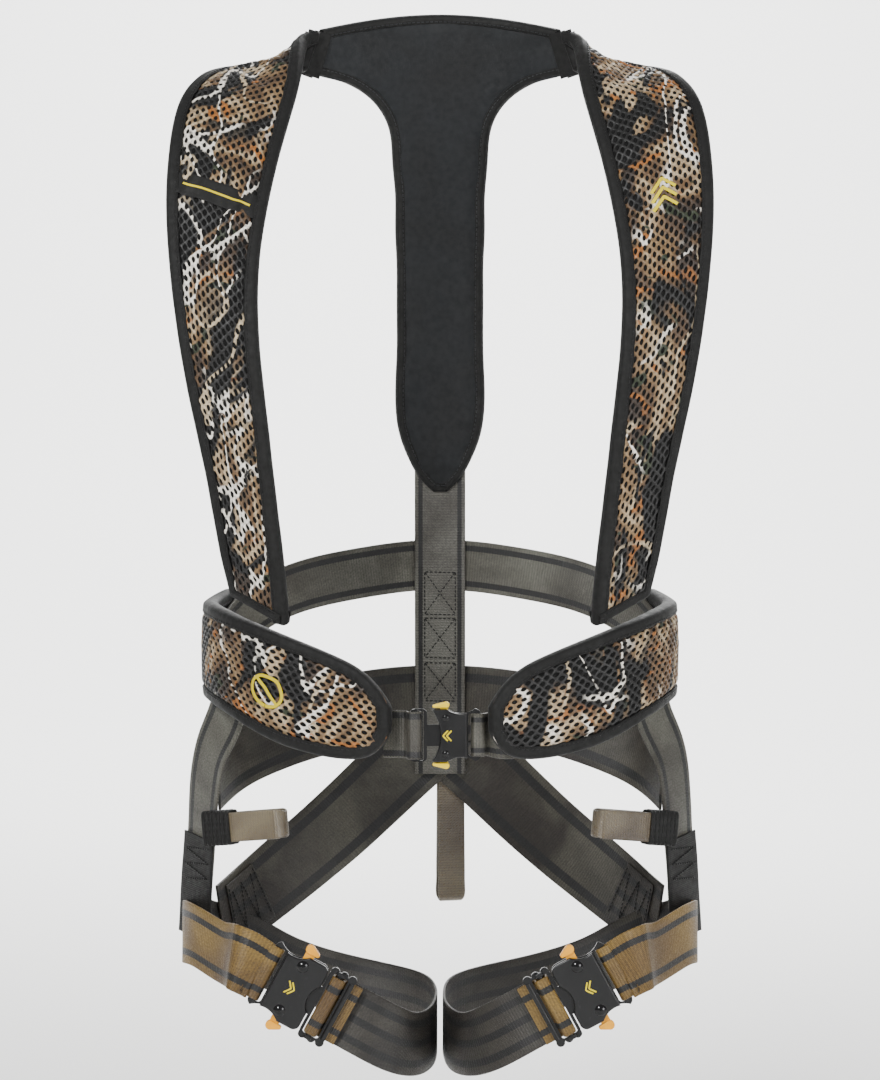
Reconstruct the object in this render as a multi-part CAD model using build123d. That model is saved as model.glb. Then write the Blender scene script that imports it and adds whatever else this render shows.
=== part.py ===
"""Full-body safety harness vest, in millimetres.

The wearer stands upright and faces -Y, +Z is up and +X is the wearer's left.
The origin is the centre of the wearer's waist, level with the waist buckle.
Webbing, pads and panel are plain closed solids. Every part of the wearer's
right side (-X) is drawn once, and its left twin is the mirror image.
"""
import os

from build123d import *

# Webbing
WIDE = 57.0            # seat and diagonal straps
LEG = 45.0             # leg loops
MAIN = 38.0            # spine, waist belt and hip risers
NARROW = 21.0          # lineman loops and tail loop
WEB = 2.0              # thickness of one layer
PLY = 2.4              # spacing of two layers that are sewn together

# Pads and back panel
PAD = 9.0              # foam
FACE = 0.8             # mesh face on the foam
LIP = 9.0              # how far a binding reaches in over the edge
TAPE = 1.1             # thickness of a binding
LAYER = 3.0            # one padded layer of the back panel
POCKET = 3.8           # space between its two layers, for the spine strap

# Heights of the body
BELT_Z = 105.0
SEAT_Z = 0.0
THIGH_X = 91.0         # half the distance between the two leg loops


# ---------------------------------------------------------------- helpers
def smooth(points, count):
    """Evenly spaced points on a smooth curve through the given ones."""
    path = Spline(*[Vector(*p) for p in points])
    return [path @ (i / (count - 1)) for i in range(count)]


def headings(points):
    """The direction of travel at each point of a row."""
    last = len(points) - 1
    return [(points[min(i + 1, last)] - points[max(i - 1, 0)]).normalized() for i in range(last + 1)]


def around(cx, cy, rx, ry, power=1.0):
    """Outward direction from an upright oval body; a higher power gives it flatter sides."""
    def outward(p):
        x, y = (p.X - cx) / rx, (p.Y - cy) / ry
        return Vector(x * abs(x) ** (power - 1) / rx, y * abs(y) ** (power - 1) / ry, 0).normalized()
    return outward


TORSO = around(0, 0, 165, 108)
THIGH = around(-THIGH_X, 0, 92, 98, power=2.5)


def facing(rows):
    """Outward direction of the nearest row of a pad."""
    return lambda p: min(rows, key=lambda row: ((row[0] + row[1]) / 2 - p).length)[2]


def loft_through(sections):
    """A closed solid through a row of corner lists."""
    return Solid.make_loft([Wire.make_polygon(s, close=True) for s in sections], ruled=True)


def band(points, outward, width, lift=0.0, thickness=WEB, count=16):
    """Flat webbing along a curve, its face turned outward, raised by lift from the curve."""
    row = smooth(points, count)
    sections = []
    for p, t in zip(row, headings(row)):
        across = t.cross(outward(p)).normalized() * (width / 2)
        up = across.cross(t).normalized()
        low = p + up * lift
        high = p + up * (lift + thickness)
        sections.append([low - across, low + across, high + across, high - across])
    return loft_through(sections)


def folded(path, width, thickness=WEB):
    """Webbing bent in one plane: a line with thickness, drawn out across its width."""
    return extrude(trace(path, thickness), amount=width / 2, both=True)


def pad_rows(outer, inner, outward, count):
    """Matching points on a pad's two long edges, with the direction its face looks in."""
    a_row = smooth(outer, count)
    b_row = smooth(inner, count)
    middle = [(a + b) / 2 for a, b in zip(a_row, b_row)]
    faces = [t.cross(a - b).normalized() for a, b, t in zip(a_row, b_row, headings(middle))]
    sign = 1 if sum(face.dot(outward(m)) for face, m in zip(faces, middle)) > 0 else -1
    return [(a, b, face * sign) for a, b, face in zip(a_row, b_row, faces)]


def pad_layer(rows, inset, low, high, width=None):
    """One layer of a pad, set in from both ends and both edges, or as wide as asked."""
    sections = []
    for k, (a, b, face) in enumerate(rows):
        side = (b - a).normalized() * (((b - a).length - width) / 2 if width else inset)
        near, far = a + side, b - side
        if k in (0, len(rows) - 1):
            other = rows[1] if k == 0 else rows[-2]
            pull = ((other[0] + other[1]) / 2 - (a + b) / 2).normalized() * inset
            near, far = near + pull, far + pull
        sections.append([near + face * low, far + face * low, far + face * high, near + face * high])
    return loft_through(sections)


def binding(edge, faces, inside, low, high, lip=LIP):
    """Tape folded over an edge: a channel section that follows it."""
    inward = [face.cross(t).normalized() for t, face in zip(headings(edge), faces)]
    sign = 1 if sum(into.dot(inside - p) for into, p in zip(inward, edge)) > 0 else -1
    sections = []
    for p, into, face in zip(edge, inward, faces):
        into = into * sign
        profile = [(0, high), (lip, high), (lip, high - TAPE), (TAPE, high - TAPE),
                   (TAPE, low + TAPE), (lip, low + TAPE), (lip, low), (0, low)]
        sections.append([p + into * u + face * v for u, v in profile])
    return loft_through(sections)


def pad_set(rows):
    """Foam, mesh face and binding of one pad, its face at the rows' level."""
    foam = pad_layer(rows, TAPE + 0.3, -PAD, 0)
    mesh = pad_layer(rows, LIP + 1.0, 0.4, 0.4 + FACE)
    edge = [a for a, b, n in rows] + [b for a, b, n in reversed(rows)]
    faces = [n for a, b, n in rows] + [n for a, b, n in reversed(rows)]
    centre = sum((p for p in edge), Vector(0, 0, 0)) / len(edge)
    tape = binding(edge, faces, centre, -PAD - TAPE - 0.2, TAPE + 0.2)
    return foam, mesh, tape


def both_sides(name, shape):
    """The part as drawn on the wearer's right, and its mirror image on the left."""
    return {f"{name}_right": shape, f"{name}_left": mirror(shape, about=Plane.YZ)}


# ---------------------------------------------------------------- back panel
PANEL_HALF = [          # height and half width, from the collar to the tip
    (512, 20), (506, 61), (500, 86), (484, 92), (467, 98), (464, 76), (458, 61), (448, 48),
    (431, 38), (405, 35), (380, 33), (355, 33), (330, 32), (305, 32), (265, 32), (227, 33),
    (203, 30), (182, 22), (170, 15), (160, 5),
]


def panel_y(x, z):
    """Depth of the panel's inner pocket face, curved round the shoulders."""
    lean = 99 - 23 * max(0.0, (z - 300) / 212) ** 1.7
    return lean - 0.0030 * x * x


def panel_out(p):
    """Outward direction of the panel at a point."""
    step = 1.0
    across = panel_y(p.X + step, p.Z) - panel_y(p.X - step, p.Z)
    along = panel_y(p.X, p.Z + step) - panel_y(p.X, p.Z - step)
    return Vector(-across / 2 / step, 1, -along / 2 / step).normalized()


def on_panel(x, z, lift=0.0):
    """A point on the panel's inner pocket face, or lifted off it."""
    return Vector(x, panel_y(x, z) + lift, z)


def panel_layer(low, high, inset):
    columns = 11
    sections = []
    for z, half in PANEL_HALF:
        xs = [(half - inset) * (2 * i / (columns - 1) - 1) for i in range(columns)]
        level = min(max(z, 160 + inset), 512 - inset)
        near = [on_panel(x, level, low) for x in xs]
        far = [on_panel(x, level, high) for x in reversed(xs)]
        sections.append(near + far)
    return loft_through(sections)


def panel_binding():
    """Tape along the collar, and along each armhole from the shoulder seam to the tip."""
    armhole = [on_panel(-half, z) for z, half in PANEL_HALF[4:-1]]
    collar = [on_panel(-half, z) for z, half in reversed(PANEL_HALF[:3])]
    collar += [on_panel(half, z) for z, half in PANEL_HALF[:3]]
    low, high = -LAYER - TAPE - 0.2, POCKET + LAYER + TAPE + 0.2
    tapes = []
    for row in (armhole, collar):
        faces = [panel_out(p) for p in row]
        tapes.append(binding(row, faces, Vector(0, 90, 470), low, high, lip=6.0))
    return [tapes[0], mirror(tapes[0], about=Plane.YZ), tapes[1]]


def back_panel():
    spine = [tuple(on_panel(0, z, 0.35)) for z in (456, 420, 380, 340, 300, 230)]
    spine += [(0, 99.6, 160), (0, 99.6, BELT_Z), (0, 102.2, 62), (0, 106.7, 28), (0, 109.0, SEAT_Z),
              (0, 111, -54)]
    yoke = [tuple(on_panel(x, 484 - 0.0012 * x * x, 0.8)) for x in (-78, -39, 0, 39, 78)]
    return {"back_panel_lining": panel_layer(-LAYER, 0, TAPE + 0.4),
            "back_panel_shell": panel_layer(POCKET, POCKET + LAYER, TAPE + 0.4),
            "back_panel_binding": Compound(children=panel_binding()),
            "spine_strap": band(spine, lambda p: Vector(0, 1, 0), MAIN, count=26),
            "yoke_webbing": band(yoke, panel_out, MAIN * 0.6, count=12)}


# ---------------------------------------------------------------- shoulder pads
SHOULDER_OUTER = [(-99, 52, 468), (-124, 50, 469), (-153, 35, 470), (-173, 8, 462), (-185, -22, 442),
                  (-190, -48, 408), (-191, -68, 366), (-188, -80, 321), (-182, -86, 274), (-174, -87, 229),
                  (-163, -83, 176), (-153, -75, 119), (-147, -69, 93)]
SHOULDER_INNER = [(-89, 56, 498), (-97, 48, 498), (-100, 30, 490), (-100, 5, 468), (-105, -20, 437),
                  (-113, -44, 402), (-121, -68, 360), (-126, -90, 314), (-125, -99, 265), (-120, -101, 216),
                  (-115, -101, 163), (-110, -98, 110), (-108, -94, 73)]


def shoulder():
    rows = pad_rows(SHOULDER_OUTER, SHOULDER_INNER, TORSO, 30)
    foam, mesh, tape = pad_set(rows)
    under = -PAD - TAPE - 0.5
    webbing = pad_layer(rows, TAPE, under - WEB, under, width=30.0)
    parts = both_sides("shoulder_pad", foam)
    parts |= both_sides("shoulder_mesh", mesh)
    parts |= both_sides("shoulder_binding", tape)
    parts |= both_sides("shoulder_webbing", webbing)
    return parts


# ---------------------------------------------------------------- waist pads and belt
WAIST_TOP = [(-157, 42, 92), (-168, 5, 87), (-163, -35, 85), (-146, -66, 80), (-107, -93, 67),
             (-74, -107, 55), (-56, -114, 46), (-44, -118, 35), (-35, -121.5, 21)]
WAIST_BOTTOM = [(-158, 42, 13), (-169, 5, 17), (-162, -35, 14), (-147, -66, 8), (-117, -93, -6),
                (-91, -107, -13), (-69, -114, -16), (-47, -118, -13), (-35, -121.5, 3)]


def waist():
    rows = pad_rows(WAIST_TOP, WAIST_BOTTOM, TORSO, 18)
    foam, mesh, tape = pad_set(rows)
    parts = both_sides("waist_pad", foam)
    parts |= both_sides("waist_mesh", mesh)
    parts |= both_sides("waist_binding", tape)
    parts["waist_belt"] = waist_belt(rows)
    return parts


def waist_belt(rows):
    """One length of webbing behind both pads and round the back, folded at the buckle's housing."""
    depth = PAD + TAPE + 0.7 + WEB
    behind = [(a + b) / 2 - face * depth for a, b, face in rows[3:15:3]]
    behind = [tuple(p) for p in reversed(behind)]
    twin = [(-x, y, z) for x, y, z in reversed(behind)]
    half = [(-124, 62, 82), (-62, 92, 99)]
    route = behind + half + [(0, 104.0, BELT_Z)] + [(-x, y, z) for x, y, z in reversed(half)] + twin
    route += [(47, -103.2, 0.8)]
    pads = facing(rows)

    def outward(p):
        if p.Y > 50:
            return TORSO(p)
        face = pads(Vector(-abs(p.X), p.Y, p.Z))
        return Vector(face.X if p.X < 0 else -face.X, face.Y, face.Z * 0.5)

    belt = band(route, outward, MAIN, count=44)
    lead = [(-19, -5.4), (-5.4, -1.8), (-3.0, 3.1)]
    return belt + waist_plane() * housing_fold(WAIST_BUCKLE, lead, heel=-1.4)


# ---------------------------------------------------------------- seat, hips and leg loops
HIP_JOINT = (-168, 26, -158)


def seat_and_hips():
    parts = {}
    half = [(-160, 8, -41), (-148, 48, -30), (-103, 86, -13), (-58, 106, -4)]
    route = half + [(0, 113, SEAT_Z)] + [(-x, y, z) for x, y, z in reversed(half)]
    parts["seat_band"] = band(route, TORSO, WIDE, count=28)
    diagonal = [(18, 115.6, -6), (-31, 114.6, -50), (-76, 107, -92), (-114, 92, -123), (-143, 66, -144),
                (-160, 38, -154)]
    right = band(diagonal, TORSO, WIDE, count=14)
    parts["seat_strap_right"] = right
    parts["seat_strap_left"] = mirror(Pos(0, PLY + 0.3, 0) * right, about=Plane.YZ)
    riser = [(-149, -21.5, 58), (-149.5, -21, 32), (-151.5, -20, 8), (-163, -12, -20), (-169, -8, -51),
             (-171, -5, -80), (-173, -2, -112), (-175, 0, -158)]
    parts |= both_sides("hip_riser", band(riser, TORSO, MAIN, count=20))
    return parts


LEG_MOUTH = Vector(-87.6, -99, -185)
LEG_ALONG = Vector(0.88, -0.03, -0.475).normalized()


def leg_plane():
    """The leg buckle lies in this plane: X along the strap, Z away from the thigh."""
    out = Vector(0, -1, 0)
    out = (out - LEG_ALONG * out.dot(LEG_ALONG)).normalized()
    return Plane(origin=LEG_MOUTH, x_dir=LEG_ALONG, z_dir=out)


def leg_loop():
    plane = leg_plane()
    near = [tuple(plane.from_local_coords(Vector(x, 0, -0.3))) for x in (-62, -44)]
    front = band([(-166, 34, -157), (-180, 2, -155), (-171, -46, -150), (-147, -82, -157)] + near,
                 THIGH, LEG, lift=PLY, count=18)
    front = front + plane * housing_fold(LEG_BUCKLE, [(-26, 3.1)], heel=-4.0)
    under = [tuple(plane.from_local_coords(Vector(x, 0, -5.6))) for x in (14, 28, 42)]
    inner = [(-27, -82, -219), (-9, -45, -224), (-4, -5, -221), (-10, 35, -216), (-38, 66, -213),
             (-80, 84, -207), (-120, 78, -192), (-148, 56, -172), HIP_JOINT]
    rear = band(under + inner, THIGH, LEG, lift=0.0, count=26)
    parts = both_sides("leg_front_strap", front)
    parts |= both_sides("leg_rear_strap", rear)
    return parts


# ---------------------------------------------------------------- loops that hang on the harness
def closed_loop(start, length, gap):
    """Centre line of a flattened loop: two plies side by side, round at the far end."""
    r = gap / 2
    near = Line((start, r), (length - r, r))
    end = RadiusArc((length - r, r), (length - r, -r), r)
    back = Line((length - r, -r), (start, -r))
    return Wire([near, end, back])


def lineman_loops():
    """Side loops on the hips, each held by a sewn sleeve and free to swing just clear of it."""
    along = Vector(52, -24, 7).normalized()
    up = along.cross(Vector(0.1, 0, 1).cross(along)).normalized()
    plane = Plane(origin=(-147, -33, -74), x_dir=along, z_dir=up)
    loop = plane * folded(closed_loop(5.5, 42, 13), NARROW, 1.8)
    sleeve = plane * (Pos(-11.5, 0, 0) * Box(23, 16.4, NARROW + 5))
    sleeve = sleeve - plane * (Pos(-9.5, 0, 0) * Box(21, 13.4, NARROW + 1))
    parts = both_sides("lineman_loop", loop)
    parts |= both_sides("loop_sleeve", sleeve)
    return parts


def rear_loops():
    """Tail loop under the seat, and the tether loop between the shoulders."""
    tail_plane = Plane(origin=(8, 127.5, -50), x_dir=(0, 0, -1), z_dir=(1, 0, 0))
    tether_plane = Plane(origin=(0, 101.2, 452), x_dir=(0, 9.6, -84), z_dir=(1, 0, 0))
    return {"tail_loop": tail_plane * folded(closed_loop(0, 102, 8), NARROW, 1.8),
            "tether_loop": tether_plane * folded(closed_loop(0, 84, 12), MAIN, 2.2)}


# ---------------------------------------------------------------- buckles
# Local frame of a buckle: X from the housing to the plug, Z away from the body.
# X = 0 is the mouth, where the plug enters; the base plate stands on Z = 0.
PLATE = 1.8
COVER_LOW, COVER_TOP = 5.7, 8.7
TONGUE_LOW, TONGUE_TOP = 2.5, 5.0
CLIP_LOW, CLIP_TOP = 2.2, 5.3
SLOT = 5.0             # opening that the webbing passes through
BAR = 4.0              # bar that the webbing is folded round
RUN = 0.06             # radial clearance of a clip on its rivet

LEG_BUCKLE = dict(length=41.0, width=50.0, strap=LEG, pivot=(-17.5, 17.3), rivet=2.5, head=4.2, eye=4.6,
                  tongue=10.8, reach=20.0, scallop=15.0, tab=(1.6, 12.6, 11.0, 6.6), float_bar=True)
WAIST_BUCKLE = dict(length=36.5, width=36.5, strap=MAIN - 4.5, pivot=(-12.0, 12.4), rivet=1.9, head=2.4, eye=3.7,
                    tongue=7.4, reach=12.5, scallop=30.0, tab=(3.0, 8.6, 15.0, 4.4), float_bar=False)


def bar_edge(b):
    """X of the inner edge of the housing's webbing bar."""
    return -b["length"] + BAR


def housing_outline(b):
    """Plate outline: lobes at the bar and at the rivets, drawn in at the waist between them."""
    length, width = b["length"], b["width"]
    plate = Pos(-length / 2, 0) * RectangleRounded(length, width, 5)
    nip = 0.09 * width
    for side in (-1, 1):
        plate -= Pos(bar_edge(b) + SLOT + 5, side * (width / 2 + 16 - nip)) * Circle(16)
    return plate - Pos(b["scallop"] * 0.72, 0) * Circle(b["scallop"])


def pivots(b):
    x, y = b["pivot"]
    return [(x, y), (x, -y)]


def housing_base(b):
    slot = Pos(bar_edge(b) + SLOT / 2, 0) * RectangleRounded(SLOT, b["strap"] - 4, 2)
    plate = extrude(housing_outline(b) - slot, PLATE)
    for x, y in pivots(b):
        plate -= Pos(x, y, 0) * Cylinder(b["rivet"] + 0.05, 10)
    bar = Pos(-b["length"] + BAR / 2, 0, 0) * Box(BAR, b["width"] - 12, PLATE * 2)
    return plate + (bar & extrude(housing_outline(b), PLATE))


def housing_cover(b):
    """A pressed shell over the mechanism, closed at the rear, open to the sides for the tabs."""
    rear = bar_edge(b) + SLOT + 0.8
    area = Pos(rear + 50, 0) * Rectangle(100, 100)
    outline = housing_outline(b) & area
    shell = extrude(outline, COVER_TOP - COVER_LOW)
    rim = shell.faces().sort_by(Axis.Z)[-1].edges()
    shell = Pos(0, 0, COVER_LOW) * fillet(rim, 1.1)
    hollow = Pos(0, 0, COVER_LOW - 1) * extrude(offset(outline, -1.5, kind=Kind.INTERSECTION), 2.3)
    wall = Pos(rear + 1.3, 0, (PLATE + COVER_LOW + 1) / 2) * Box(2.0, b["width"] * 0.6, COVER_LOW + 1 - PLATE)
    shell = shell - hollow + wall
    for x, y in pivots(b):
        shell -= Pos(x, y, 5) * Cylinder(b["rivet"] + 0.05, 12)
    return shell


def rivets(b):
    """Domed rivets through cover and base, which the clips turn on."""
    shapes = []
    for x, y in pivots(b):
        rise = b["head"] * 0.42
        radius = (b["head"] ** 2 + rise**2) / (2 * rise)
        dome = Pos(0, 0, COVER_TOP + rise - radius) * Sphere(radius)
        dome = dome & Pos(0, 0, COVER_TOP + 5) * Cylinder(b["head"], 10)
        foot = Pos(0, 0, -0.5) * Cylinder(b["head"], 1.0)
        shaft = Pos(0, 0, COVER_TOP / 2) * Cylinder(b["rivet"], COVER_TOP + 0.2)
        shapes.append(Pos(x, y, 0) * (dome + shaft + foot))
    return Compound(children=shapes)


def clip(b):
    """Release lever: an eye on the rivet, a finger tab outside and a catch beside the tongue."""
    tab_x, tab_y, tab_length, tab_depth = b["tab"]
    eye = b["eye"]
    arm = Pos(-4.5, 1.0 - eye / 2 - 1.2) * Rectangle(9, eye - 1.8)
    catch = Pos(-8.2, 0.3 - eye) * Rectangle(1.6, 1.8)
    stem = Pos(tab_x * 0.4, tab_y / 2) * Rectangle(eye * 1.5, tab_y)
    lever = extrude(Circle(eye) + arm + catch + stem, CLIP_TOP - CLIP_LOW)
    lever = Pos(0, 0, CLIP_LOW) * lever
    nose = Pos(tab_x - tab_length * 0.22, tab_y) * Circle(tab_depth / 2)
    heel = Pos(tab_x + tab_length * 0.34, tab_y - tab_depth * 0.22) * Circle(tab_depth * 0.24)
    tab = extrude(make_hull(nose.edges() + heel.edges()), 5.4)
    tab = Pos(0, 0, 1.2) * fillet(tab.faces().filter_by(Axis.Z).edges(), 0.8)
    return lever + tab - Cylinder(b["rivet"] + RUN, 30)


def clips(b):
    x, y = b["pivot"]
    lever = clip(b)
    return Pos(x, y, 0) * lever, Pos(x, -y, 0) * mirror(lever, about=Plane.XZ)


def release_spring(b, x, y):
    """A light coil round a rivet, between its clip and the cover."""
    coil = Helix(pitch=0.62, height=0.62, radius=b["rivet"] + 0.75)
    wire = Plane(origin=coil @ 0, z_dir=coil % 0) * Circle(0.2)
    return Pos(x, y, CLIP_TOP + 0.45) * sweep(wire, path=coil)


def plug(b):
    """Tongue, shoulders and the end bar that the webbing is folded round."""
    reach, half = b["reach"], b["width"] / 2
    tip = -b["length"] + BAR + SLOT + 7.5
    tongue = Pos((tip + 3) / 2, 0) * Rectangle(3 - tip, 2 * b["tongue"])
    nose = Pos(tip, 0) * Ellipse(2.5, b["tongue"] - 1)
    frame = Pos(0.6 + reach / 2, 0) * RectangleRounded(reach - 0.6, 2 * half, 3.5)
    gap = reach - BAR - 4.0
    window = Pos(3.2 + gap / 2, 0) * RectangleRounded(gap, b["strap"] + 1.6, 1.5)
    outline = tongue + nose + frame
    if b["float_bar"]:
        for x in (4.2, 11.0, 17.6):
            outline += Pos(x, half - 0.6) * Circle(3.1) + Pos(x, 0.6 - half) * Circle(3.1)
    plate = Pos(0, 0, TONGUE_LOW) * extrude(outline - window, TONGUE_TOP - TONGUE_LOW)
    middle = (TONGUE_LOW + TONGUE_TOP) / 2
    bar = Pos(reach - BAR / 2 + 0.2, 0, middle) * Rot(90, 0, 0) * Cylinder(BAR / 2, 2 * half - 6)
    return plate + bar


def float_bar(b):
    """Loose bar that grips the webbing, lying on the plug's two side rails."""
    bar = Pos(8.6, 0, TONGUE_TOP + 1.9) * Rot(90, 0, 0) * Cylinder(1.75, b["strap"] + 1.0)
    for side in (-1, 1):
        end = Pos(8.6, side * (b["width"] / 2 - 0.6), TONGUE_TOP + 1.9) * Box(5.5, 3.4, 3.4)
        bar += fillet(end.edges(), 0.8)
    return bar


def housing_fold(b, lead, heel):
    """The strap's end: along the lead, over the housing's bar, down its slot and back beneath."""
    bar = -b["length"] + BAR / 2
    route = lead + [(3.2, 3.1), (4.6, 1.2), (3.2, -1.7), (heel, -2.0)]
    line = Polyline(*[(bar + x, z) for x, z in route])
    path = fillet(line.vertices()[len(lead):-1], 1.2)
    return local_xz() * folded(path, b["strap"] - 4.6, 1.8)


def local_xz():
    """Draws in the buckle's X and Z, and extrudes across the strap."""
    return Plane(origin=(0, 0, 0), x_dir=(1, 0, 0), z_dir=(0, -1, 0))


def web_round_float_bar(b):
    """Leg webbing: up through the plug's window, over the float bar and back beneath."""
    route = Polyline((27, 0.75), (13.4, 0.75), (12.3, 9.6), (4.9, 9.6), (4.9, -1.25), (27, -1.25))
    path = fillet(route.vertices()[1:-1], 1.2)
    return local_xz() * folded(path, b["strap"] - 1.0, 1.7)


def web_round_end_bar(b):
    """Waist webbing: up through the plug's window, over its end bar and away behind the pad."""
    reach = b["reach"]
    route = Polyline((reach - 2.0, -0.6), (reach - 7.0, -0.2), (reach - 7.0, 6.9), (reach + 1.0, 6.9),
                     (reach + 2.5, -1.8), (31, -5.2))
    path = fillet(route.vertices()[1:-1], 1.4)
    return local_xz() * folded(path, b["strap"] - 0.5, 1.7)


def buckle(b, plane, name, sides):
    """Every piece of one buckle, placed in its plane."""
    upper, lower = clips(b)
    parts = {f"{name}_buckle_base": housing_base(b), f"{name}_buckle_cover": housing_cover(b),
             f"{name}_buckle_rivets": rivets(b), f"{name}_clip_{sides[0]}": upper,
             f"{name}_clip_{sides[1]}": lower, f"{name}_buckle_plug": plug(b)}
    if b["float_bar"]:
        parts[f"{name}_float_bar"] = float_bar(b)
        parts[f"{name}_adjuster_web"] = web_round_float_bar(b)
    else:
        parts[f"{name}_adjuster_web"] = web_round_end_bar(b)
    return {key: plane * shape for key, shape in parts.items()}


def waist_plane():
    """The waist buckle's plane: its plug points to the wearer's right."""
    return Plane(origin=(-8, -109, 0.5), x_dir=(-1, 0, 0), z_dir=(0, -1, 0))


def release_springs():
    """One light coil for each of the six clips."""
    coils = []
    for b, plane, twin in ((WAIST_BUCKLE, waist_plane(), False), (LEG_BUCKLE, leg_plane(), True)):
        for x, y in pivots(b):
            coil = plane * release_spring(b, x, y)
            coils.append(coil)
            if twin:
                coils.append(mirror(coil, about=Plane.YZ))
    return Compound(children=coils)


def buckles():
    parts = buckle(WAIST_BUCKLE, waist_plane(), "waist", ("bottom", "top"))
    for name, shape in buckle(LEG_BUCKLE, leg_plane(), "leg", ("upper", "lower")).items():
        parts |= both_sides(name, shape)
    parts["release_springs"] = release_springs()
    return parts


# ---------------------------------------------------------------- write every part
def main():
    parts = back_panel() | shoulder() | waist() | seat_and_hips()
    parts |= leg_loop() | lineman_loops() | rear_loops() | buckles()
    os.makedirs("parts", exist_ok=True)
    for name, shape in parts.items():
        export_step(shape, f"parts/{name}.step")
    print(len(parts), "parts")


main()
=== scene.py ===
"""Looks of a full-body safety harness vest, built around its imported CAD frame.

Routes are in millimetres in the row frame and become metres as meshes are made.
The wearer faces -Y, +Z is up and -X is the wearer's right. Paired pieces are
worked out on the wearer's right and mirrored to the left.
"""

import math

import bmesh
import bpy
import numpy as np
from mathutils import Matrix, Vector


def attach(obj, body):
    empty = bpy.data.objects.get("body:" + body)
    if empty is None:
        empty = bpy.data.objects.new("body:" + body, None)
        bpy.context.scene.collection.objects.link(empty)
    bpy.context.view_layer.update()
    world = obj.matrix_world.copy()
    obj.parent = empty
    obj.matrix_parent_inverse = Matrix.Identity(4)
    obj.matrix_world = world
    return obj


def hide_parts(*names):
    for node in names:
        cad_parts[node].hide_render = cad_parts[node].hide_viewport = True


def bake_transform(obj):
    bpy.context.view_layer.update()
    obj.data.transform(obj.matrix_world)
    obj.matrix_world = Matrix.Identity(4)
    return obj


MM = 0.001
MIRROR = {"right": np.array([1.0, 1.0, 1.0]), "left": np.array([-1.0, 1.0, 1.0])}

# Sizes shared with the CAD model
WIDE, LEG, MAIN, NARROW = 57.0, 45.0, 38.0, 21.0      # widths of webbing
WEB = 2.0                                             # its thickness
PLY = 2.4                                             # spacing of two sewn layers
PAD = 9.0                                             # foam
TAPE = 1.1                                            # binding tape
LIP = 9.0                                             # reach of a pad's binding
LAYER, POCKET = 3.0, 3.8                              # back panel: a layer, the space between two
BELT_Z = 105.0
TAPE_LIP = 7.0                                        # reach of the panel's binding
LABEL = 17.0                                          # width of the patch on a shoulder pad
SEAM_COVER = 14.0                                     # width of the tape over a shoulder seam
STITCH, STITCH_GAP = 2.4, 0.9                         # length of a stitch, space to the next
SIM_FRAMES = 20                                       # length of each pad's simulation

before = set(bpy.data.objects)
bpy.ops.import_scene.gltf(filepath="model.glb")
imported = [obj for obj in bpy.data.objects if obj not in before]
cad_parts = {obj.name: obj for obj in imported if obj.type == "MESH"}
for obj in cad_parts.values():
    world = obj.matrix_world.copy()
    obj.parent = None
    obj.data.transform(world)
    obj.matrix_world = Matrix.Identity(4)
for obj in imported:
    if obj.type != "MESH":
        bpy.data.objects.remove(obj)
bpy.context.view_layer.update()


# ---------------------------------------------------------------- curves
def unit(v):
    return v / np.linalg.norm(v, axis=-1, keepdims=True)


def arc(points):
    """Distance travelled at each point of a row."""
    return np.concatenate([[0.0], np.cumsum(np.linalg.norm(np.diff(points, axis=0), axis=1))])


def spline(knots, values, at):
    """Natural cubic spline through rows of values."""
    h = np.diff(knots)
    n = len(knots)
    system = np.eye(n)
    target = np.zeros((n, values.shape[1]))
    slope = np.diff(values, axis=0) / h[:, None]
    for i in range(1, n - 1):
        system[i, i - 1:i + 2] = h[i - 1], 2 * (h[i - 1] + h[i]), h[i]
        target[i] = 6 * (slope[i] - slope[i - 1])
    bend = np.linalg.solve(system, target)
    k = np.clip(np.searchsorted(knots, at, side="right") - 1, 0, n - 2)
    f = (at - knots[k])[:, None]
    g = (knots[k + 1] - at)[:, None]
    w = h[k][:, None]
    straight = (values[k] * g + values[k + 1] * f) / w
    return straight + (bend[k] * (g**3 / w - g * w) + bend[k + 1] * (f**3 / w - f * w)) / 6


def rows_at(at, travel, rows):
    """Rows read off at places along a curve."""
    return np.stack([np.interp(at, travel, rows[:, i]) for i in range(3)], axis=-1)


def smooth(points, count):
    """Evenly spaced points on a smooth curve through the given ones."""
    points = np.asarray(points, float)
    knots = arc(points)
    dense = spline(knots, points, np.linspace(0, knots[-1], 40 * len(points)))
    travel = arc(dense)
    return rows_at(np.linspace(0, travel[-1], count), travel, dense)


def headings(points):
    return unit(np.gradient(points, axis=0))


def crosswise(points, outward):
    """Directions across webbing that lies along the points and faces outward."""
    return unit(np.cross(headings(points), outward(points)))


def eased(directions, rounds):
    """Unit directions along a row, evened out with their neighbours; the ends stay."""
    for _ in range(rounds):
        middle = directions[:-2] + 2 * directions[1:-1] + directions[2:]
        directions = np.vstack([directions[:1], unit(middle), directions[-1:]])
    return directions


def rounded(corners, radius, steps=7):
    """A flat polyline with its corners rounded."""
    corners = [np.asarray(c, float) for c in corners]
    line = [corners[0]]
    for before, here, after in zip(corners, corners[1:], corners[2:]):
        into, out = here - before, after - here
        cut = min(radius, 0.48 * np.linalg.norm(into), 0.48 * np.linalg.norm(out))
        start, end = here - unit(into) * cut, here + unit(out) * cut
        for t in np.linspace(0, 1, steps):
            line.append(start * (1 - t) ** 2 + here * 2 * t * (1 - t) + end * t * t)
    return np.array(line + [corners[-1]])


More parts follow.
